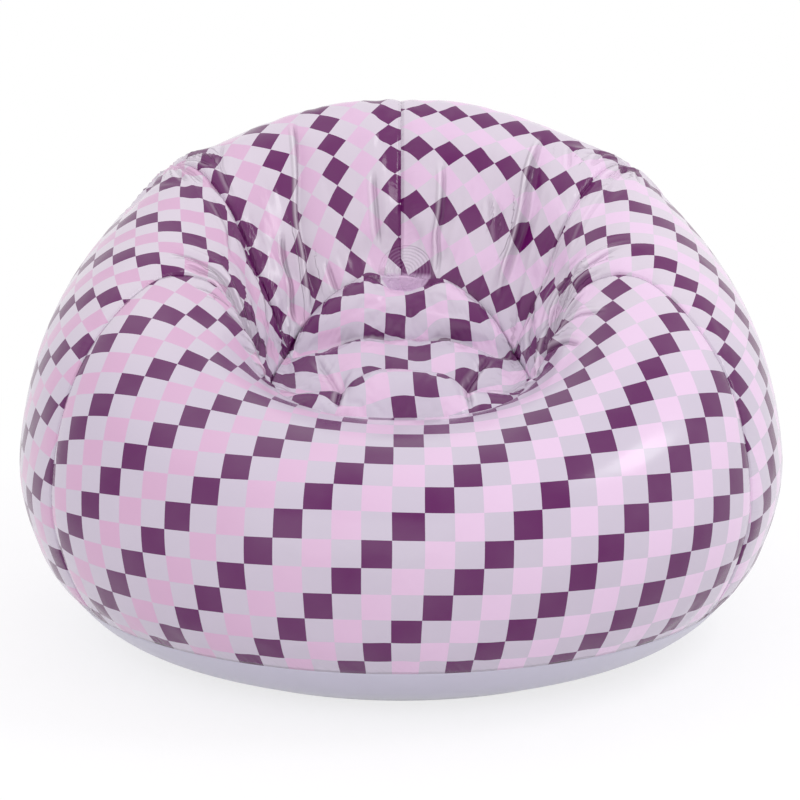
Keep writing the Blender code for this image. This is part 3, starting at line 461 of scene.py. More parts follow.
def fold_lift(name, columns, rows, points):
    """Height of the folds, with metres across the nearest one and its strength."""
    lift = np.zeros(columns.shape)
    layer = np.stack([np.full(columns.shape, NO_FOLD), np.zeros(columns.shape)], -1)
    for shape, height, width, places in FOLDS[name] + corner_rays(name):
        knots = np.array(places)
        way = np.linspace(0, len(knots) - 1, 6 * len(knots))
        order = np.arange(len(knots))
        fold_columns = np.interp(way, order, knots[:, 0])
        fold_rows = np.interp(way, order, knots[:, 1])
        away, share = line_distance(points, smooth_wall(fold_columns, fold_rows))
        taper = eased(np.clip(np.minimum(share, 1 - share) * 5, 0, 1))
        turn = np.argsort(fold_rows)
        side = np.sign(columns - np.interp(rows, fold_rows[turn], fold_columns[turn]))
        strength = taper * min(1.0, height / FULL_FOLD) * near_fold(away)
        layer = with_fold(layer, away, side, strength)
        if shape == "crease":
            sink = np.exp(-away / width) - 0.45 * np.exp(-(((away - 1.8 * width) / width) ** 2))
            lift -= height * taper * sink
        else:
            step = np.tanh(side * away / PLEAT_LIP)
            lift += height * taper * (0.15 + 0.85 * step) * np.exp(-away / width)
    return lift, layer


def waves(phase, seed):
    """Uneven ripple between about -1 and 1."""
    chance = np.random.default_rng(seed)
    total = np.zeros(np.shape(phase))
    for pitch, strength in ((1.0, 0.5), (1.73, 0.35), (0.61, 0.35), (2.9, 0.16)):
        total = total + strength * np.sin(phase * pitch + chance.uniform(0, 6.283))
    return total


def fan_lift(columns, rows):
    lift = np.zeros(columns.shape)
    wide, high = metres_along(columns, rows)
    for column, row, reach, height, count, start in FANS:
        side = (columns - column) * wide
        up = (rows - row) * high
        away = np.hypot(side, up)
        angle = np.arctan2(up, side)
        ridge = 1 - 2 * np.abs(waves(angle * count / 2 + start, int(column + 40)))
        share, core = away / reach, np.clip(away / FAN_CORE, 0, 1)
        lift += height * ridge * share * np.exp(1 - share) * core
    return lift


def seam_puckers(columns, rows):
    """Small gathers that run off every weld."""
    lift = np.zeros(columns.shape)
    wide, high = metres_along(columns, rows)
    inside = np.clip((rows - 7.2) / 1.2, 0, 1)
    for number, seam in enumerate(SIDE_SEAMS):
        away = np.abs(columns - seam) * wide
        phase = rows * high / 0.0042 + 5 * np.sign(columns - seam)
        fade = np.exp(-away / (0.014 + 0.010 * inside))
        lift += waves(phase, 60 + number) * fade * (0.0008 + 0.0012 * inside)
    ends = (
        (np.clip(rows - BOTTOM_SEAM, 0, None), 0.0010, 0.013, 81),
        (np.clip(SEAT_SEAM - rows, 0, None), 0.0018, 0.024, 82),
    )
    for gap, height, reach, seed in ends:
        away = gap * high
        lift += waves(columns * wide / 0.0046, seed) * np.exp(-away / reach) * height
    return lift


def wall_form(columns, rows, name=None):
    """The wall with its seams, and with a named panel's folds and wrinkles."""
    points = smooth_wall(columns, rows)
    lift = seam_relief(columns, rows)
    if name:
        lift = lift + fold_lift(name, columns, rows, points)[0]
        border = np.clip(np.minimum(rows - BOTTOM_SEAM, SEAT_SEAM - rows) / WELD_CALM, 0, 1)
        seam = np.min([np.abs(columns - k) for k in SIDE_SEAMS], axis=0)
        border = border * np.clip(seam / WELD_CALM, 0, 1)
        lift = lift + (fan_lift(columns, rows) + seam_puckers(columns, rows)) * border
    return lumbar_dent(points + wall_normal(columns, rows) * lift[..., None])


def seat_columns(fine):
    """Wall columns along the front, left, right and rear edge of the seat."""
    across = np.linspace(-FRONT_SEAM, FRONT_SEAM, SEAT_CELLS * fine + 1)
    beside = np.linspace(FRONT_SEAM, BACK_SEAM, SEAT_CELLS * fine + 1)
    behind = np.linspace(BACK_SEAM, REAR, SEAT_CELLS // 2 * fine + 1)
    back = np.concatenate([-behind[:-1], behind[::-1]])
    return across, -beside, beside, back


def cubic_line(way, knots, values):
    """Smooth curve through the values, with slopes from their neighbours."""
    slope = np.gradient(values, knots)
    low = np.clip(np.searchsorted(knots, way, side="right") - 1, 0, len(knots) - 2)
    width = knots[low + 1] - knots[low]
    part = (way - knots[low]) / width
    a, b = values[low], values[low + 1]
    u, v = slope[low] * width, slope[low + 1] * width
    return ((2 * a - 2 * b + u + v) * part + (3 * b - 3 * a - 2 * u - v)) * part**2 + u * part + a


def rows_past_fold(columns, rows):
    """Rows of the seat from the fold under the lumbar bulge, which bends."""
    return rows - FOLD_ROW - FOLD_BEND * (columns / (SEAT_CELLS / 2) - 1) ** 2


def crease_taper(share):
    return np.clip(np.minimum(share, 1 - share) * 4 + 0.15, 0, 1)


def seat_relief(grid, rows, columns):
    """The front pillow, the tufts and their creases, and the fold at the rear."""
    drop = np.zeros(grid.shape[:2])
    flat = grid[..., :2]
    border = np.minimum(np.minimum(columns, SEAT_CELLS - columns), np.minimum(rows, SEAT_CELLS - rows))
    inside = np.clip(border / 1.5, 0, 1)
    wide, deep, middle = PILLOW_SIZE[0], PILLOW_SIZE[1], PILLOW_MIDDLE
    pillow = np.exp(-((flat[..., 0] / wide) ** 4)) * np.exp(-(((flat[..., 1] - middle) / deep) ** 4))
    drop += PILLOW_HEIGHT * pillow
    for x, y in SEAT_TUFTS:
        away = np.hypot(flat[..., 0] - x, flat[..., 1] - y)
        drop -= TUFT_DEPTH * np.exp(-away / TUFT_WIDTH)
        angle = np.arctan2(flat[..., 1] - y, flat[..., 0] - x)
        star = waves(angle * 4, int(1000 * abs(x + y)))
        drop += STAR_HEIGHT * star * (away / STAR_REACH) * np.exp(1 - away / STAR_REACH)
    for line, depth, width in SEAT_CREASES:
        away, share = line_distance(flat, np.array(line))
        drop -= depth * crease_taper(share) * np.exp(-away / width)
    drop -= FOLD_DEPTH * np.exp(-np.abs(rows_past_fold(columns, rows)) / 0.55)
    return drop * inside


def seat_form(fine=FINE):
    """The seat, stretched between its four edges over its middle line."""
    edges = []
    for columns in seat_columns(fine):
        edges.append(wall_form(columns, np.full(columns.shape, float(SEAT_SEAM))))
    front, left, right, back = edges
    across = np.linspace(0, 1, len(front))[None, :, None]
    along = np.linspace(0, 1, len(left))[:, None, None]
    grid = (1 - along) * front[None] + along * back[None]
    grid = grid + (1 - across) * left[:, None] + across * right[:, None]
    corners = (1 - across) * (1 - along) * front[0] + across * (1 - along) * front[-1]
    grid = grid - corners - (1 - across) * along * back[0] - across * along * back[-1]
    way = along[:, 0, 0]
    middle = len(front) // 2
    sideways = np.linspace(-1, 1, len(front))[None]
    window = np.clip((way - 0.25) / 0.3, 0, 1) * np.clip((1 - way) / 0.08, 0, 1)
    bent = way[:, None] - FOLD_BEND / SEAT_CELLS * sideways**2 * window[:, None]
    place = cubic_line(bent, SEAT_LINE[:, 0], SEAT_LINE[:, 1] * DEPTH)
    height = cubic_line(bent, SEAT_LINE[:, 0], SEAT_LINE[:, 2] * HEIGHT)
    swell = 1 - np.abs(sideways) ** 3
    grid[..., 1] += swell * (place - grid[:, middle, 1, None])
    grid[..., 2] += swell * (height - grid[:, middle, 2, None])
    cells = np.linspace(0, SEAT_CELLS, len(front))[None]
    grid[..., 2] += seat_relief(grid, way[:, None] * SEAT_CELLS, cells)
    grid[1:-1, 1:-1] = lumbar_dent(grid)[1:-1, 1:-1]
    return grid


def grid_quads(rows, columns):
    index = np.arange(rows * columns).reshape(rows, columns)
    corners = index[:-1, :-1], index[:-1, 1:], index[1:, 1:], index[1:, :-1]
    return np.stack(corners, -1).reshape(-1, 4)


def grid_triangles(rows, columns):
    """The squares of a grid, each halved in both ways."""
    a, b, c, d = grid_quads(rows, columns).T
    halves = [(a, b, c), (a, c, d), (a, b, d), (b, c, d)]
    return np.concatenate([np.stack(half, 1) for half in halves])


def flat_triangles(places, triangles):
    """Each triangle laid flat by itself, with its first side along X."""
    first = places[triangles[:, 1]] - places[triangles[:, 0]]
    second = places[triangles[:, 2]] - places[triangles[:, 0]]
    length = np.linalg.norm(first, axis=1) + 1e-12
    rest = np.zeros((len(triangles), 3, 2))
    rest[:, 1, 0] = length
    rest[:, 2, 0] = np.sum(first * second, 1) / length
    rest[:, 2, 1] = -np.linalg.norm(np.cross(first, second), axis=1) / length
    return rest


def weighted_sides(rest):
    """The three sides of every triangle: their two corners and weights."""
    sides = []
    for k in range(3):
        i, j = (k + 1) % 3, (k + 2) % 3
        p, q = rest[:, i] - rest[:, k], rest[:, j] - rest[:, k]
        area = np.abs(p[:, 0] * q[:, 1] - p[:, 1] * q[:, 0])
        sides.append((i, j, np.clip(np.sum(p * q, 1) / np.maximum(area, 1e-9), 0.02, 20)))
    return sides


def anchor_shares(anchors, rows, columns):
    """Share of each grid point in each anchor, and the squares they go to."""
    hold = np.zeros((len(anchors), rows * columns))
    goal = np.zeros((len(anchors), 2))
    for k, (column, row, across, down) in enumerate(anchors):
        c, r = min(int(column), columns - 2), min(int(row), rows - 2)
        u, v = column - c, row - r
        corner = r * columns + c
        hold[k, corner] = (1 - u) * (1 - v)
        hold[k, corner + 1] = u * (1 - v)
        hold[k, corner + columns] = (1 - u) * v
        hold[k, corner + columns + 1] = u * v
        goal[k] = across, down
    return hold, goal


def first_layout(points, square):
    """A panel rolled out from its middle column, in squares."""
    middle = points.shape[1] // 2
    guess = np.zeros(points.shape[:2] + (2,))
    steps = np.linalg.norm(np.diff(points, axis=1), axis=-1) / square
    guess[:, 1:, 0] = np.cumsum(steps, axis=1)
    guess[..., 0] -= guess[:, middle, 0][:, None]
    up = np.linalg.norm(np.diff(points[:, middle], axis=0), axis=-1) / square
    guess[1:, :, 1] = -np.cumsum(up)[:, None]
    return guess.reshape(-1, 2)


def turned_onto(guess, held, goal):
    """The layout turned and moved as a whole, from its held places to the goal."""
    a = held[:, 0] + 1j * held[:, 1]
    b = goal[:, 0] + 1j * goal[:, 1]
    turn = np.sum(np.conj(a - a.mean()) * (b - b.mean()))
    turn = turn / abs(turn)
    spun = (guess[:, 0] + 1j * guess[:, 1] - a.mean()) * turn + b.mean()
    return np.stack([spun.real, spun.imag], 1)


def laid_flat(points, square, anchors):
    """Lay a panel flat as it was printed, in squares, keeping its lengths.

    Anchors are grid column, grid row, square across and square down.
    """
    rows, columns = points.shape[:2]
    count = rows * columns
    tri = grid_triangles(rows, columns)
    rest = flat_triangles(points.reshape(-1, 3) / square, tri)
    sides = weighted_sides(rest)
    pull = np.zeros((count, count))
    for i, j, weight in sides:
        for a, b, sign in ((i, i, 1), (j, j, 1), (i, j, -1), (j, i, -1)):
            np.add.at(pull, (tri[:, a], tri[:, b]), sign * weight)
    hold, goal = anchor_shares(anchors, rows, columns)
    solver = np.linalg.inv(pull + ANCHOR_PULL * hold.T @ hold + 1e-7 * np.eye(count))
    guess = first_layout(points, square)
    guess = turned_onto(guess, hold @ guess, goal)
    for _ in range(FLAT_TURNS):
        spin = np.zeros((len(tri), 2, 2))
        for i, j, weight in sides:
            now = guess[tri[:, i]] - guess[tri[:, j]]
            spin += weight[:, None, None] * now[:, :, None] * (rest[:, i] - rest[:, j])[:, None]
        angle = np.arctan2(spin[:, 1, 0] - spin[:, 0, 1], spin[:, 0, 0] + spin[:, 1, 1])
        sine, cosine = np.sin(angle), np.cos(angle)
        wanted = ANCHOR_PULL * hold.T @ goal
        for i, j, weight in sides:
            edge = rest[:, i] - rest[:, j]
            x = weight * (cosine * edge[:, 0] - sine * edge[:, 1])
            y = weight * (sine * edge[:, 0] + cosine * edge[:, 1])
            np.add.at(wanted, tri[:, i], np.stack([x, y], 1))
            np.add.at(wanted, tri[:, j], -np.stack([x, y], 1))
        guess = solver @ wanted
    return soothed(guess.reshape(rows, columns, 2))


def soothed(flat, turns=2):
    """Take small kinks out of a flat layout, with its edges kept straight on."""
    for _ in range(turns):
        for axis in (0, 1):
            padded = run_on(np.moveaxis(flat, axis, 0))
            flat = np.moveaxis(0.25 * padded[:-2] + 0.5 * padded[1:-1] + 0.25 * padded[2:], 0, axis)
    return flat


def between(grid, x, y):
    """Values of a coarse grid at fine places, smooth in both directions."""
    def spread(values, place, axis):
        values = run_on(np.moveaxis(values, axis, 0))
        low = np.clip(np.floor(place).astype(int), 0, len(values) - 4)
        part = (place - low).reshape((-1,) + (1,) * (values.ndim - 1))
        return np.moveaxis(curve_through(*(values[low + k] for k in range(4)), part), 0, axis)
    return spread(spread(grid, x, 1), y, 0)


def wall_print(name):
    """Printed squares of a wall panel at every point of its fine grid."""
    first, last = PANELS[name]
    rows = np.arange(BOTTOM_SEAM, SEAT_SEAM + 0.01, 1 / PRINT_ROWS)
    columns = np.arange(first, last + 1.0)
    points = smooth_wall(*np.meshgrid(columns, rows))
    anchors = [(s - first, (t - BOTTOM_SEAM) * PRINT_ROWS, i, j) for s, t, i, j in ANCHORS[name]]
    flat = laid_flat(points, SQUARE[name], anchors)
    fine = np.linspace(0, last - first, (last - first) * FINE + 1)
    return between(flat, fine, (ROWS - BOTTOM_SEAM) * PRINT_ROWS)


def seat_print():
    points = seat_form(SEAT_PRINT_FINE)
    anchors = [(SEAT_PRINT_FINE * c, SEAT_PRINT_FINE * r, i, j) for c, r, i, j in ANCHORS["seat_panel"]]
    flat = laid_flat(points, SQUARE["seat_panel"], anchors)
    fine = np.linspace(0, SEAT_CELLS * SEAT_PRINT_FINE, SEAT_CELLS * FINE + 1)
    return between(flat, fine, fine)


def weld_layer(points):
    """Metres along the nearest weld and metres away from it, at each point.

    The left side, the right side and the ends start from different numbers, so
    that their gathers differ.
    """
    steps = np.linalg.norm(np.diff(points, axis=1), axis=-1)
    across = np.concatenate([np.zeros((len(points), 1)), np.cumsum(steps, axis=1)], 1)
    steps = np.linalg.norm(np.diff(points, axis=0), axis=-1)
    down = np.concatenate([np.zeros((1, points.shape[1])), np.cumsum(steps, axis=0)], 0)
    side = np.minimum(across, across[:, -1:] - across)
    end = np.minimum(down, down[-1:] - down)
    along = np.where(side < end, down + 3 * (across > across[:, -1:] / 2), across + 7)
    return np.stack([along, np.minimum(side, end)], -1)


def seat_folds(points):
    """Metres from the nearest crease of the seat, and its strength."""
    columns, rows = np.meshgrid(*[np.linspace(0, SEAT_CELLS, SEAT_CELLS * FINE + 1)] * 2)
    high = np.linalg.norm(np.gradient(points, axis=0), axis=-1) * FINE
    away = rows_past_fold(columns, rows) * high
    ends = np.clip(np.minimum(columns, SEAT_CELLS - columns) / 3, 0, 1)
    layer = np.stack([away, near_fold(np.abs(away)) * ends], -1)
    for line, depth, _ in SEAT_CREASES:
        away, share = line_distance(points[..., :2], np.array(line))
        strength = near_fold(away) * crease_taper(share) * min(1.0, depth / FULL_CREASE)
        layer = with_fold(layer, away, 1, strength)
    return layer


def sheet_object(name, points, squares, inward, hole=None, folds=None):
    """Panel mesh with its border turned in along the weld."""
    rows, columns = points.shape[:2]
    index = np.arange(rows * columns).reshape(rows, columns)
    loop = np.concatenate([index[0], index[1:, -1], index[-1, -2::-1], index[-2:0:-1, 0]])
    flat = points.reshape(-1, 3)
    turned = flat[loop] + inward.reshape(-1, 3)[loop] * WELD_EDGE
    vertices = np.concatenate([flat, turned])
    quads = grid_quads(rows, columns)
    if hole is not None:
        quads = quads[~hole.reshape(-1)[quads].all(1)]
    low = rows * columns + np.arange(len(loop))
    rim = np.stack([np.roll(loop, -1), loop, low, np.roll(low, -1)], -1)
    faces = np.concatenate([quads, rim])
    mesh = bpy.data.meshes.new(name)
    mesh.vertices.add(len(vertices))
    mesh.vertices.foreach_set("co", vertices.ravel())
    mesh.loops.add(len(faces) * 4)
    mesh.loops.foreach_set("vertex_index", faces.ravel())
    mesh.polygons.add(len(faces))
    mesh.polygons.foreach_set("loop_start", np.arange(len(faces)) * 4)
    mesh.polygons.foreach_set("loop_total", np.full(len(faces), 4))
    mesh.update(calc_edges=True)
    mesh.validate()
    mesh.polygons.foreach_set("use_smooth", np.ones(len(faces), bool))
    if folds is None:
        folds = np.full(squares.shape, NO_FOLD)
    for title, values in (("print", squares), ("weld", weld_layer(points)), ("fold", folds)):
        both = np.concatenate([values.reshape(-1, 2), values.reshape(-1, 2)[loop]])
        layer = mesh.uv_layers.new(name=title)
        layer.data.foreach_set("uv", both[faces.ravel()].astype(np.float32).ravel())
    made = bpy.data.objects.new(name, mesh)
    bpy.context.scene.collection.objects.link(made)
    return made


def valve_place():
    """Centre of the valve, and the way it faces."""
    turn = next(joint for joint in frame["joints"] if joint["name"] == "unit_turn")
    return np.array(turn["pos_m"]), unit(np.array(turn["axis"]))


def valve_hole(points, squares):
    """Round hole for the valve, with the skin flat on its flange."""
    centre, normal = valve_place()
    offset = points - centre
    middle = np.unravel_index(np.argmin(np.linalg.norm(offset, axis=-1)), points.shape[:2])
    down, across = np.indices(points.shape[:2])
    ring = np.maximum(np.abs(down - middle[0]), np.abs(across - middle[1]))
    height = offset @ normal
    flat = unit(offset - height[..., None] * normal)
    start, end = VALVE_RINGS
    share = eased(np.clip((ring - start) / (end - start), 0, 1)[..., None])
    radius = VALVE_HOLE_RADIUS + (ring - start) * VALVE_RING_STEP
    raised = FLANGE_LIFT * np.clip((FLANGE_RADIUS - radius) / FLANGE_EDGE, 0, 1)
    round_place = centre + flat * radius[..., None] + normal * raised[..., None]
    near = (ring >= start) & (ring < end)
    moved = np.where(near[..., None], (1 - share) * round_place + share * points, points)
    side = np.gradient(points, axis=1)[middle], np.gradient(points, axis=0)[middle]
    shift = [((moved - points) @ axis) / (axis @ axis) for axis in side]
    slope = np.gradient(squares, axis=1)[middle], np.gradient(squares, axis=0)[middle]
    squares = squares + shift[0][..., None] * slope[0] + shift[1][..., None] * slope[1]
    return moved, squares, ring <= start


def wall_grid(name):
    first, last = PANELS[name]
    return np.meshgrid(np.linspace(first, last, (last - first) * FINE + 1), ROWS)


def cloth_sheet(name, points, held):
    """Coarse copy of a panel for the cloth, held at its welds."""
    mesh = bpy.data.meshes.new(name + "_cloth")
    mesh.from_pydata(points.reshape(-1, 3).tolist(), [], grid_quads(*points.shape[:2]).tolist())
    sheet = bpy.data.objects.new(name + "_cloth", mesh)
    bpy.context.scene.collection.objects.link(sheet)
    held = held.copy()
    held[[0, -1]] = True
    held[:, [0, -1]] = True
    welds = sheet.vertex_groups.new(name="welds")
    welds.add(np.flatnonzero(held).tolist(), 1.0, "ADD")
    cloth = sheet.modifiers.new("air", "CLOTH")
    cloth.point_cache.frame_start, cloth.point_cache.frame_end = 1, CLOTH_FRAMES
    settings = cloth.settings
    settings.quality = CLOTH_QUALITY
    settings.vertex_group_mass = "welds"
    settings.tension_stiffness = settings.compression_stiffness = CLOTH_STRETCH
    settings.shear_stiffness = CLOTH_SHEAR
    settings.bending_stiffness = CLOTH_BEND
    settings.use_pressure = True
    settings.uniform_pressure_force = AIR_PRESSURE
    settings.shrink_min = -CLOTH_SPARE
    settings.effector_weights.gravity = 0
    return sheet


def air_wrinkles(forms):
    """Fine wrinkles that the air presses into each sheet between its welds."""
    sheets = {}
    for name, (points, held) in forms.items():
        coarse = points[::CLOTH_STRIDE, ::CLOTH_STRIDE]
        chance = np.random.default_rng(17)
        coarse = coarse + chance.normal(0, CLOTH_START, coarse.shape)
        sheets[name] = cloth_sheet(name, coarse, held[::CLOTH_STRIDE, ::CLOTH_STRIDE]), coarse
    for moment in range(1, CLOTH_FRAMES + 1):
        bpy.context.scene.frame_set(moment)
    graph = bpy.context.evaluated_depsgraph_get()
    made = {}
    for name, (sheet, coarse) in sheets.items():
        blown = sheet.evaluated_get(graph).to_mesh()
        now = np.zeros(coarse.size)
        blown.vertices.foreach_get("co", now)
        move = now.reshape(coarse.shape) - coarse
        fine = move - soothed(move, CLOTH_SMOOTHING)
        length = np.linalg.norm(fine, axis=-1, keepdims=True)
        fine = fine * (CLOTH_CAP * np.tanh(length / CLOTH_CAP) / (length + 1e-9))
        rows, columns = forms[name][0].shape[:2]
        place = np.arange(columns) / CLOTH_STRIDE, np.arange(rows) / CLOTH_STRIDE
        slack = SEAT_SLACK
        if name in CLOTH_SLACK:
            slack = np.interp(ROWS, *CLOTH_SLACK[name])[:, None, None]
        made[name] = between(fine, *place) * slack
    for sheet, _ in sheets.values():
        bpy.data.objects.remove(sheet)
    bpy.context.scene.frame_set(1)
    return made


def held_places(points):
    """Where the straps hold a sheet, and the flange holds it round the valve."""
    side, near = lumbar_side(points)
    held = near & (side < TUFT_RADIUS)
    for x, y in SEAT_TUFTS:
        held |= np.hypot(points[..., 0] - x, points[..., 1] - y) < SEAT_TUFT_HOLD
    return held | (np.linalg.norm(points - valve_place()[0], axis=-1) < FLANGE_HOLD)


def sheet_forms():
    forms = {name: wall_form(*wall_grid(name)) for name in PANELS}
    forms["seat_panel"] = seat_form()
    return {name: (points, held_places(points)) for name, points in forms.items()}


def wall_object(name):
    first, last = PANELS[name]
    grid = wall_grid(name)
    points, squares, hole = wall_form(*grid, name) + wrinkles.get(name, 0), wall_print(name), None
    if first <= VALVE_COLUMN <= last:
        points, squares, hole = valve_hole(points, squares)
    folds = fold_lift(name, *grid, smooth_wall(*grid))[1]
    return sheet_object(name.replace("panel", "vinyl"), points, squares, -wall_normal(*grid), hole, folds)


def seat_object():
    points = seat_form() + wrinkles.get("seat_panel", 0)
    along = np.gradient(points, axis=1)
    out = np.gradient(points, axis=0)
    inward = -unit(np.cross(along, out))
    return sheet_object("seat_vinyl", points, seat_print(), inward, None, seat_folds(points))


def bottom_object():
    columns = np.linspace(-REAR, REAR, 2 * REAR * FINE + 1)
    points = wall_form(*np.meshgrid(columns, np.linspace(0, BOTTOM_SEAM, BOTTOM_ROWS)))
    centre = points[0].mean(0)
    inner = [centre + (points[0] - centre) * k for k in np.linspace(0.04, 0.96, BOTTOM_ROWS - 1)]
    points = np.concatenate([np.array(inner), points])
    squares = points[..., :2] / SQUARE["seat_panel"]
    inward = np.zeros(points.shape)
    inward[-1] = -wall_normal(columns[None], np.full((1, len(columns)), float(BOTTOM_SEAM)))[0]
    return sheet_object("bottom_vinyl", points, squares, inward)


class Wire:
    """A socket that can be used in plain sums."""

    def __init__(self, tree, socket):
        self.tree, self.socket = tree, socket

    def math(self, operation, *others):
        return node(self.tree, "ShaderNodeMath", {"operation": operation}, self, *others)

    def __add__(self, other):
        return self.math("ADD", other)

    def __sub__(self, other):
        return self.math("SUBTRACT", other)

    def __rsub__(self, other):
        return node(self.tree, "ShaderNodeMath", {"operation": "SUBTRACT"}, other, self)

    def __mul__(self, other):
        return self.math("MULTIPLY", other)

    __radd__, __rmul__ = __add__, __mul__

    def feed(self, socket):
        self.tree.links.new(self.socket, socket)


def node(tree, kind, settings=None, *inputs, output=0, **named):
    """A new node with its settings and inputs, as the wire of one output."""
    made = tree.nodes.new(kind)
    for key, value in (settings or {}).items():
        setattr(made, key, value)
    for socket, value in list(enumerate(inputs)) + list(named.items()):
        target = made.inputs[socket.replace("_", " ") if isinstance(socket, str) else socket]
        if isinstance(value, Wire):
            value.feed(target)
        elif value is not None:
            target.default_value = value
    return Wire(tree, made.outputs[output]) if made.outputs else None


def blend_colours(tree, share, first, second):
    """The first colour where the share is 0, and the second where it is 1.

    Five sockets of the node, for numbers and vectors, are passed over.
    """
    settings, unused = {"data_type": "RGBA"}, (None,) * 5
    return node(tree, "ShaderNodeMix", settings, share, *unused, first, second, output=2)


def smooth_step(tree, value, start, end, low=0.0, high=1.0):
    """Low up to the start, high from the end on, and an eased slope between."""
    return node(tree, "ShaderNodeMapRange", {"interpolation_type": "SMOOTHSTEP"},
                value, start, end, low, high)


def fading(tree, value, start, end):
    return smooth_step(tree, value, start, end, 1.0, 0.0)


def noise(tree, place, scale, detail, **more):
    return node(tree, "ShaderNodeTexNoise", None, Vector=place, Scale=scale, Detail=detail, **more)


def vectors(tree, operation, *values, output=0, **named):
    settings = {"operation": operation}
    return node(tree, "ShaderNodeVectorMath", settings, *values, output=output, **named)


def object_place(tree):
    return node(tree, "ShaderNodeTexCoord", output="Object")


def split(tree, wire):
    """The three numbers of a vector, as three wires."""
    made = node(tree, "ShaderNodeSeparateXYZ", None, wire).socket.node
    return [Wire(tree, out) for out in made.outputs]


def uv_numbers(tree, title):
    across, down, _ = split(tree, node(tree, "ShaderNodeUVMap", {"uv_map": title}))
    return across, down


def new_finish(name, roughness, coat=0.0):
    made = bpy.data.materials.new(name)
    made.use_nodes = True
    shader = made.node_tree.nodes["Principled BSDF"]
    shader.inputs["Roughness"].default_value = roughness
    shader.inputs["Coat Weight"].default_value = coat
    shader.inputs["Coat Roughness"].default_value = COAT_ROUGHNESS
    return made, made.node_tree, shader


def srgb(red, green, blue):
    def line(value):
        value = value / 255
        return value / 12.92 if value <= 0.04045 else ((value + 0.055) / 1.055) ** 2.4
    return (line(red), line(green), line(blue), 1.0)


# The second purple and the second grey are copies for the high parts of the chair: painted light on the
# tops.
PURPLE, PURPLE_PAINTED_TOP_LIGHT = srgb(97, 7, 92), srgb(102, 3, 95)
GREY, GREY_PAINTED_TOP_LIGHT, PALE = srgb(212, 202, 219), srgb(223, 212, 226), srgb(242, 232, 243)
# Darker pink for the left and lighter pink for the right: painted shade and painted light across the
# chair.
PINK_PAINTED_SHADE_LEFT, PINK_PAINTED_LIGHT_RIGHT = srgb(222, 178, 211), srgb(241, 211, 240)
# TUCK_SHADE is painted shade in the creases, the lip colour a painted highlight beside the folds, and the
# lilac the lumbar disc's colour with a painted highlight on its rings.
TUFT_LILAC_AND_RING_HIGHLIGHT, TUCK_SHADE, PAINTED_LIP_HIGHLIGHT = srgb(214, 180, 217), srgb(96, 72, 98), srgb(250, 244, 251)


def tuft_rings(tree, spot):
    """Inside of the round lumbar weld, its pressed rings, and its lowest part."""
    pull = tuple(LUMBAR_PULL)
    away = vectors(tree, "SUBTRACT", spot, TUFT_DISC)
    along = vectors(tree, "DOT_PRODUCT", away, pull, output=1)
    flat = vectors(tree, "SUBTRACT", away, vectors(tree, "SCALE", pull, Scale=along))
    radius = vectors(tree, "LENGTH", flat, output=1)
    near = along.math("ABSOLUTE").math("LESS_THAN", LUMBAR_REACH - 0.03)
    inside = fading(tree, radius, TUFT_RADIUS - 0.003, TUFT_RADIUS)
    rings = (radius * (6.2832 / TUFT_RING_PITCH)).math("SINE")
    _, _, height = split(tree, spot)
    low = fading(tree, height, TUFT_DISC[2] - 0.012, TUFT_DISC[2] - 0.004)
    return near * inside, rings, low


def print_and_painted_light(tree, spot, cloud):
    """The check: every fourth square across and down is purple, two on is pink.

    Pink is painted darker on the left and lighter on the right, and the high
    parts lighter: painted shade and painted light.
    """
    across, down = uv_numbers(tree, "print")
    side, _, height = split(tree, spot)
    square = (across + 0.5).math("FLOOR") + (down + 0.5).math("FLOOR")
    kind = square.math("FLOORED_MODULO", 4.0)
    purple = kind.math("LESS_THAN", 0.5)
    pink = 1 - (kind - 2).math("ABSOLUTE").math("GREATER_THAN", 0.5)
    # Pink goes from the left pink to the right pink across X: painted shade on the left, painted light on
    # the right.
    pink_painted_side_light = blend_colours(tree, smooth_step(tree, side, -0.40, 0.25), PINK_PAINTED_SHADE_LEFT, PINK_PAINTED_LIGHT_RIGHT)
    # Greys and purples go over to their copies from 0.38 to 0.50 m up: painted light on the tops.
    painted_top_light = smooth_step(tree, height, 0.38, 0.50)
    colour = blend_colours(tree, pink, blend_colours(tree, painted_top_light, GREY, GREY_PAINTED_TOP_LIGHT), pink_painted_side_light)
    colour = blend_colours(tree, purple, colour, blend_colours(tree, painted_top_light, PURPLE, PURPLE_PAINTED_TOP_LIGHT))
    return blend_colours(tree, (cloud - 0.5) * 0.12 + 0.02, colour, PALE)


def film_relief(tree, spot, lip_and_painted_highlight, tuck_and_painted_shade):
    """Ripples of the film, gathers beside the welds, and lips beside the folds."""
    along, away = uv_numbers(tree, "weld")
    ripple = noise(tree, spot, 26.0, 4.0)
    seam_place = node(tree, "ShaderNodeCombineXYZ", None, along * 95.0, away * 14.0)
    gather = noise(tree, seam_place, 1.0, 2.0)
    close = fading(tree, away, 0.004, 0.045)
    band = smooth_step(tree, away, 0.0025, 0.0045)
    relief = ripple * 0.0005 + gather * close * 0.0022 + band * 0.0005
    return relief + lip_and_painted_highlight * 0.0045 - tuck_and_painted_shade * 0.0045


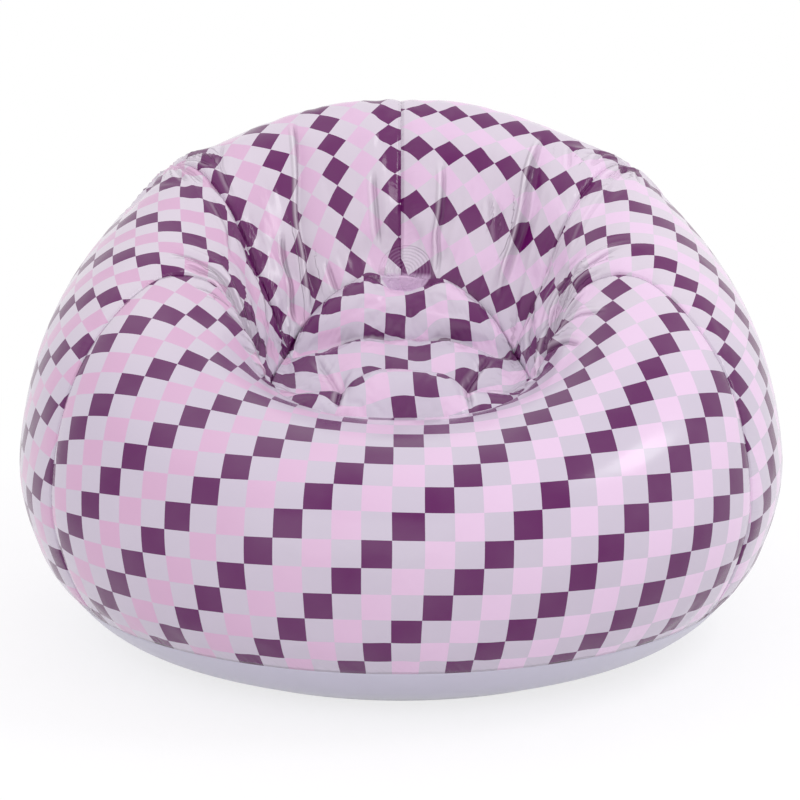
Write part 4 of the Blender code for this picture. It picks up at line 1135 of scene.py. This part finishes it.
def printed_finish(name):
    made, tree, shader = new_finish(name, 0.24)
    shader.inputs["Specular IOR Level"].default_value = 0.40
    spot = object_place(tree)
    cloud = noise(tree, spot, 9.0, 3.0)
    pale = print_and_painted_light(tree, spot, cloud)
    disc, rings, low = tuft_rings(tree, spot)
    # The disc goes towards lilac: strongly on its lowest part, and a little more on each pressed ring
    # crest, a painted highlight of the rings.
    pale = blend_colours(tree, disc * (low * 0.8 + (rings + 1) * 0.07), pale, TUFT_LILAC_AND_RING_HIGHLIGHT)
    fold, folded = uv_numbers(tree, "fold")
    # A dark line is painted along each fold and crease of the seat: painted shade in the crease. The same
    # line also sinks the bump.
    tuck_and_painted_shade = fading(tree, fold.math("ABSOLUTE"), 0.0004, 0.0040) * folded
    pale = blend_colours(tree, tuck_and_painted_shade * 0.40, pale, TUCK_SHADE)
    # A pale band is painted on the lip beside each fold: a painted highlight. The same band also raises
    # the bump.
    lip_and_painted_highlight = fading(tree, (fold - 0.0070).math("ABSOLUTE"), 0.0, 0.0060) * folded
    blend_colours(tree, lip_and_painted_highlight * 0.45, pale, PAINTED_LIP_HIGHLIGHT).feed(shader.inputs["Base Color"])
    (0.17 + 0.08 * cloud).feed(shader.inputs["Roughness"])
    crinkle = noise(tree, spot, 90.0, 3.0, Distortion=1.5)
    relief = film_relief(tree, spot, lip_and_painted_highlight, tuck_and_painted_shade)
    relief = relief + disc * (rings * (1 - low) * 0.0005 + crinkle * low * 0.004 - 0.0015)
    bump = node(tree, "ShaderNodeBump", None, Height=relief, Strength=0.7, Distance=1.0)
    bump.feed(shader.inputs["Normal"])
    return made


def plain_finish(name, colour, roughness, scale=300.0, coat=0.1):
    made, tree, shader = new_finish(name, roughness, coat)
    spot = object_place(tree)
    cloud = noise(tree, spot, 14.0, 3.0)
    grain = noise(tree, spot, scale, 2.0)
    lighter = tuple(min(1.0, c * 1.12) for c in colour[:3]) + (1.0,)
    blend_colours(tree, cloud, colour, lighter).feed(shader.inputs["Base Color"])
    (roughness + 0.08 * cloud).feed(shader.inputs["Roughness"])
    relief = grain * 0.00006 + cloud * 0.0006
    bump = node(tree, "ShaderNodeBump", None, Height=relief, Strength=0.5, Distance=1.0)
    bump.feed(shader.inputs["Normal"])
    return made


def add_light(name, place, aim, size, power):
    lamp = bpy.data.lights.new(name, "AREA")
    lamp.shape = "RECTANGLE"
    lamp.size, lamp.size_y = size
    lamp.energy = power
    item = bpy.data.objects.new(name, lamp)
    item.location = place
    item.rotation_euler = (Vector(aim) - Vector(place)).to_track_quat("-Z", "Y").to_euler()
    bpy.context.scene.collection.objects.link(item)


def add_camera():
    data = bpy.data.cameras.new("camera")
    data.sensor_width = SENSOR_WIDTH
    data.lens = FOCAL_PIXELS / FRAME_PIXELS * SENSOR_WIDTH
    data.clip_end = 30
    item = bpy.data.objects.new("camera", data)
    rise = math.radians(CAMERA_RISE)
    back = Vector((0, -math.cos(rise), math.sin(rise)))
    item.location = Vector(CAMERA_AIM) + back * CAMERA_DISTANCE
    item.rotation_euler = (-back).to_track_quat("-Z", "Y").to_euler()
    data.shift_x = SHIFT_PIXELS / FRAME_PIXELS
    bpy.context.scene.collection.objects.link(item)
    bpy.context.scene.camera = item


def seen_directly(tree):
    """1 for what the camera sees, also in a reflection or through glass."""
    path = node(tree, "ShaderNodeLightPath").socket.node
    share = Wire(tree, path.outputs["Is Camera Ray"])
    for kind in ("Is Glossy Ray", "Is Transmission Ray"):
        share = share + Wire(tree, path.outputs[kind])
    return share.math("MINIMUM", 1.0)


def shader_mix(tree, share, first, second):
    return node(tree, "ShaderNodeMixShader", None, share, first, second)


def add_world():
    world = bpy.data.worlds.new("studio")
    bpy.context.scene.world = world
    world.use_nodes = True
    tree = world.node_tree
    tree.nodes.clear()
    light = node(tree, "ShaderNodeBackground", None, (1.0, 0.985, 1.0, 1.0), ROOM_LIGHT)
    white = node(tree, "ShaderNodeBackground", None, WHITE, 1.0)
    node(tree, "ShaderNodeOutputWorld", None, shader_mix(tree, seen_directly(tree), light, white))


def add_floor():
    mesh = bpy.data.meshes.new("floor")
    half = FLOOR_HALF
    corners = [(-half, -half, 0), (half, -half, 0), (half, half, 0), (-half, half, 0)]
    mesh.from_pydata(corners, [], [(0, 1, 2, 3)])
    floor = bpy.data.objects.new("floor", mesh)
    floor.location.z = -FLOOR_GAP
    made = bpy.data.materials.new("white_floor")
    made.use_nodes = True
    tree = made.node_tree
    tree.nodes.clear()
    far = smooth_step(tree, vectors(tree, "LENGTH", object_place(tree), output=1), 0.7, 1.6)
    matt = node(tree, "ShaderNodeBsdfDiffuse", None, (0.85, 0.85, 0.85, 1.0))
    shaded = node(tree, "ShaderNodeBsdfDiffuse", None, (0.30, 0.30, 0.31, 1.0))
    glow = node(tree, "ShaderNodeEmission", None, WHITE, 0.74)
    near = node(tree, "ShaderNodeAddShader", None, shaded, glow)
    white = node(tree, "ShaderNodeEmission", None, WHITE, 1.0)
    mixed = shader_mix(tree, seen_directly(tree), matt, shader_mix(tree, far, near, white))
    node(tree, "ShaderNodeOutputMaterial", None, mixed)
    mesh.materials.append(made)
    bpy.context.scene.collection.objects.link(floor)


def finish_valve_and_ties(strap, clear, milky):
    for title, part in frame["nodes"].items():
        if title.startswith("valve"):
            finish = milky if title in ("valve_gasket", "valve_flap") else clear
        elif title.endswith(("tie", "patch")):
            finish = strap
        else:
            continue
        part.data.materials.clear()
        part.data.materials.append(finish)


def dress(piece, panel, finish):
    """Put a finished sheet in the place of its CAD panel."""
    piece.data.materials.append(finish)
    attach(piece, "chair")
    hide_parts(panel)


printed = printed_finish("printed_vinyl_film")
plain = plain_finish("plain_vinyl_film", srgb(205, 202, 219), 0.30)
finish_valve_and_ties(
    strap=plain_finish("tie_vinyl_sheet", srgb(214, 214, 222), 0.30, 350.0),
    clear=plain_finish("valve_vinyl_moulding", srgb(222, 222, 228), 0.24, 500.0, 0.4),
    milky=plain_finish("valve_flap_rubber", srgb(206, 202, 212), 0.46, 700.0),
)

wrinkles = air_wrinkles(sheet_forms())
for panel in PANELS:
    dress(wall_object(panel), panel, printed)
dress(seat_object(), "seat_panel", printed)
dress(bottom_object(), "bottom_panel", plain)

add_camera()
add_world()
add_floor()
add_light("key_softbox", (1.65, -0.50, 2.15), (0.3, -0.3, 0.35), (0.75, 0.75), 9)
add_light("front_softbox", (-0.8, -3.6, 1.9), (0, 0, 0.3), (3.2, 2.4), 15)
add_light("top_softbox", (-0.8, 0.3, 2.5), (0, 0, 0.3), (2.0, 1.6), 2.5)
bpy.context.scene.view_settings.view_transform = "Standard"
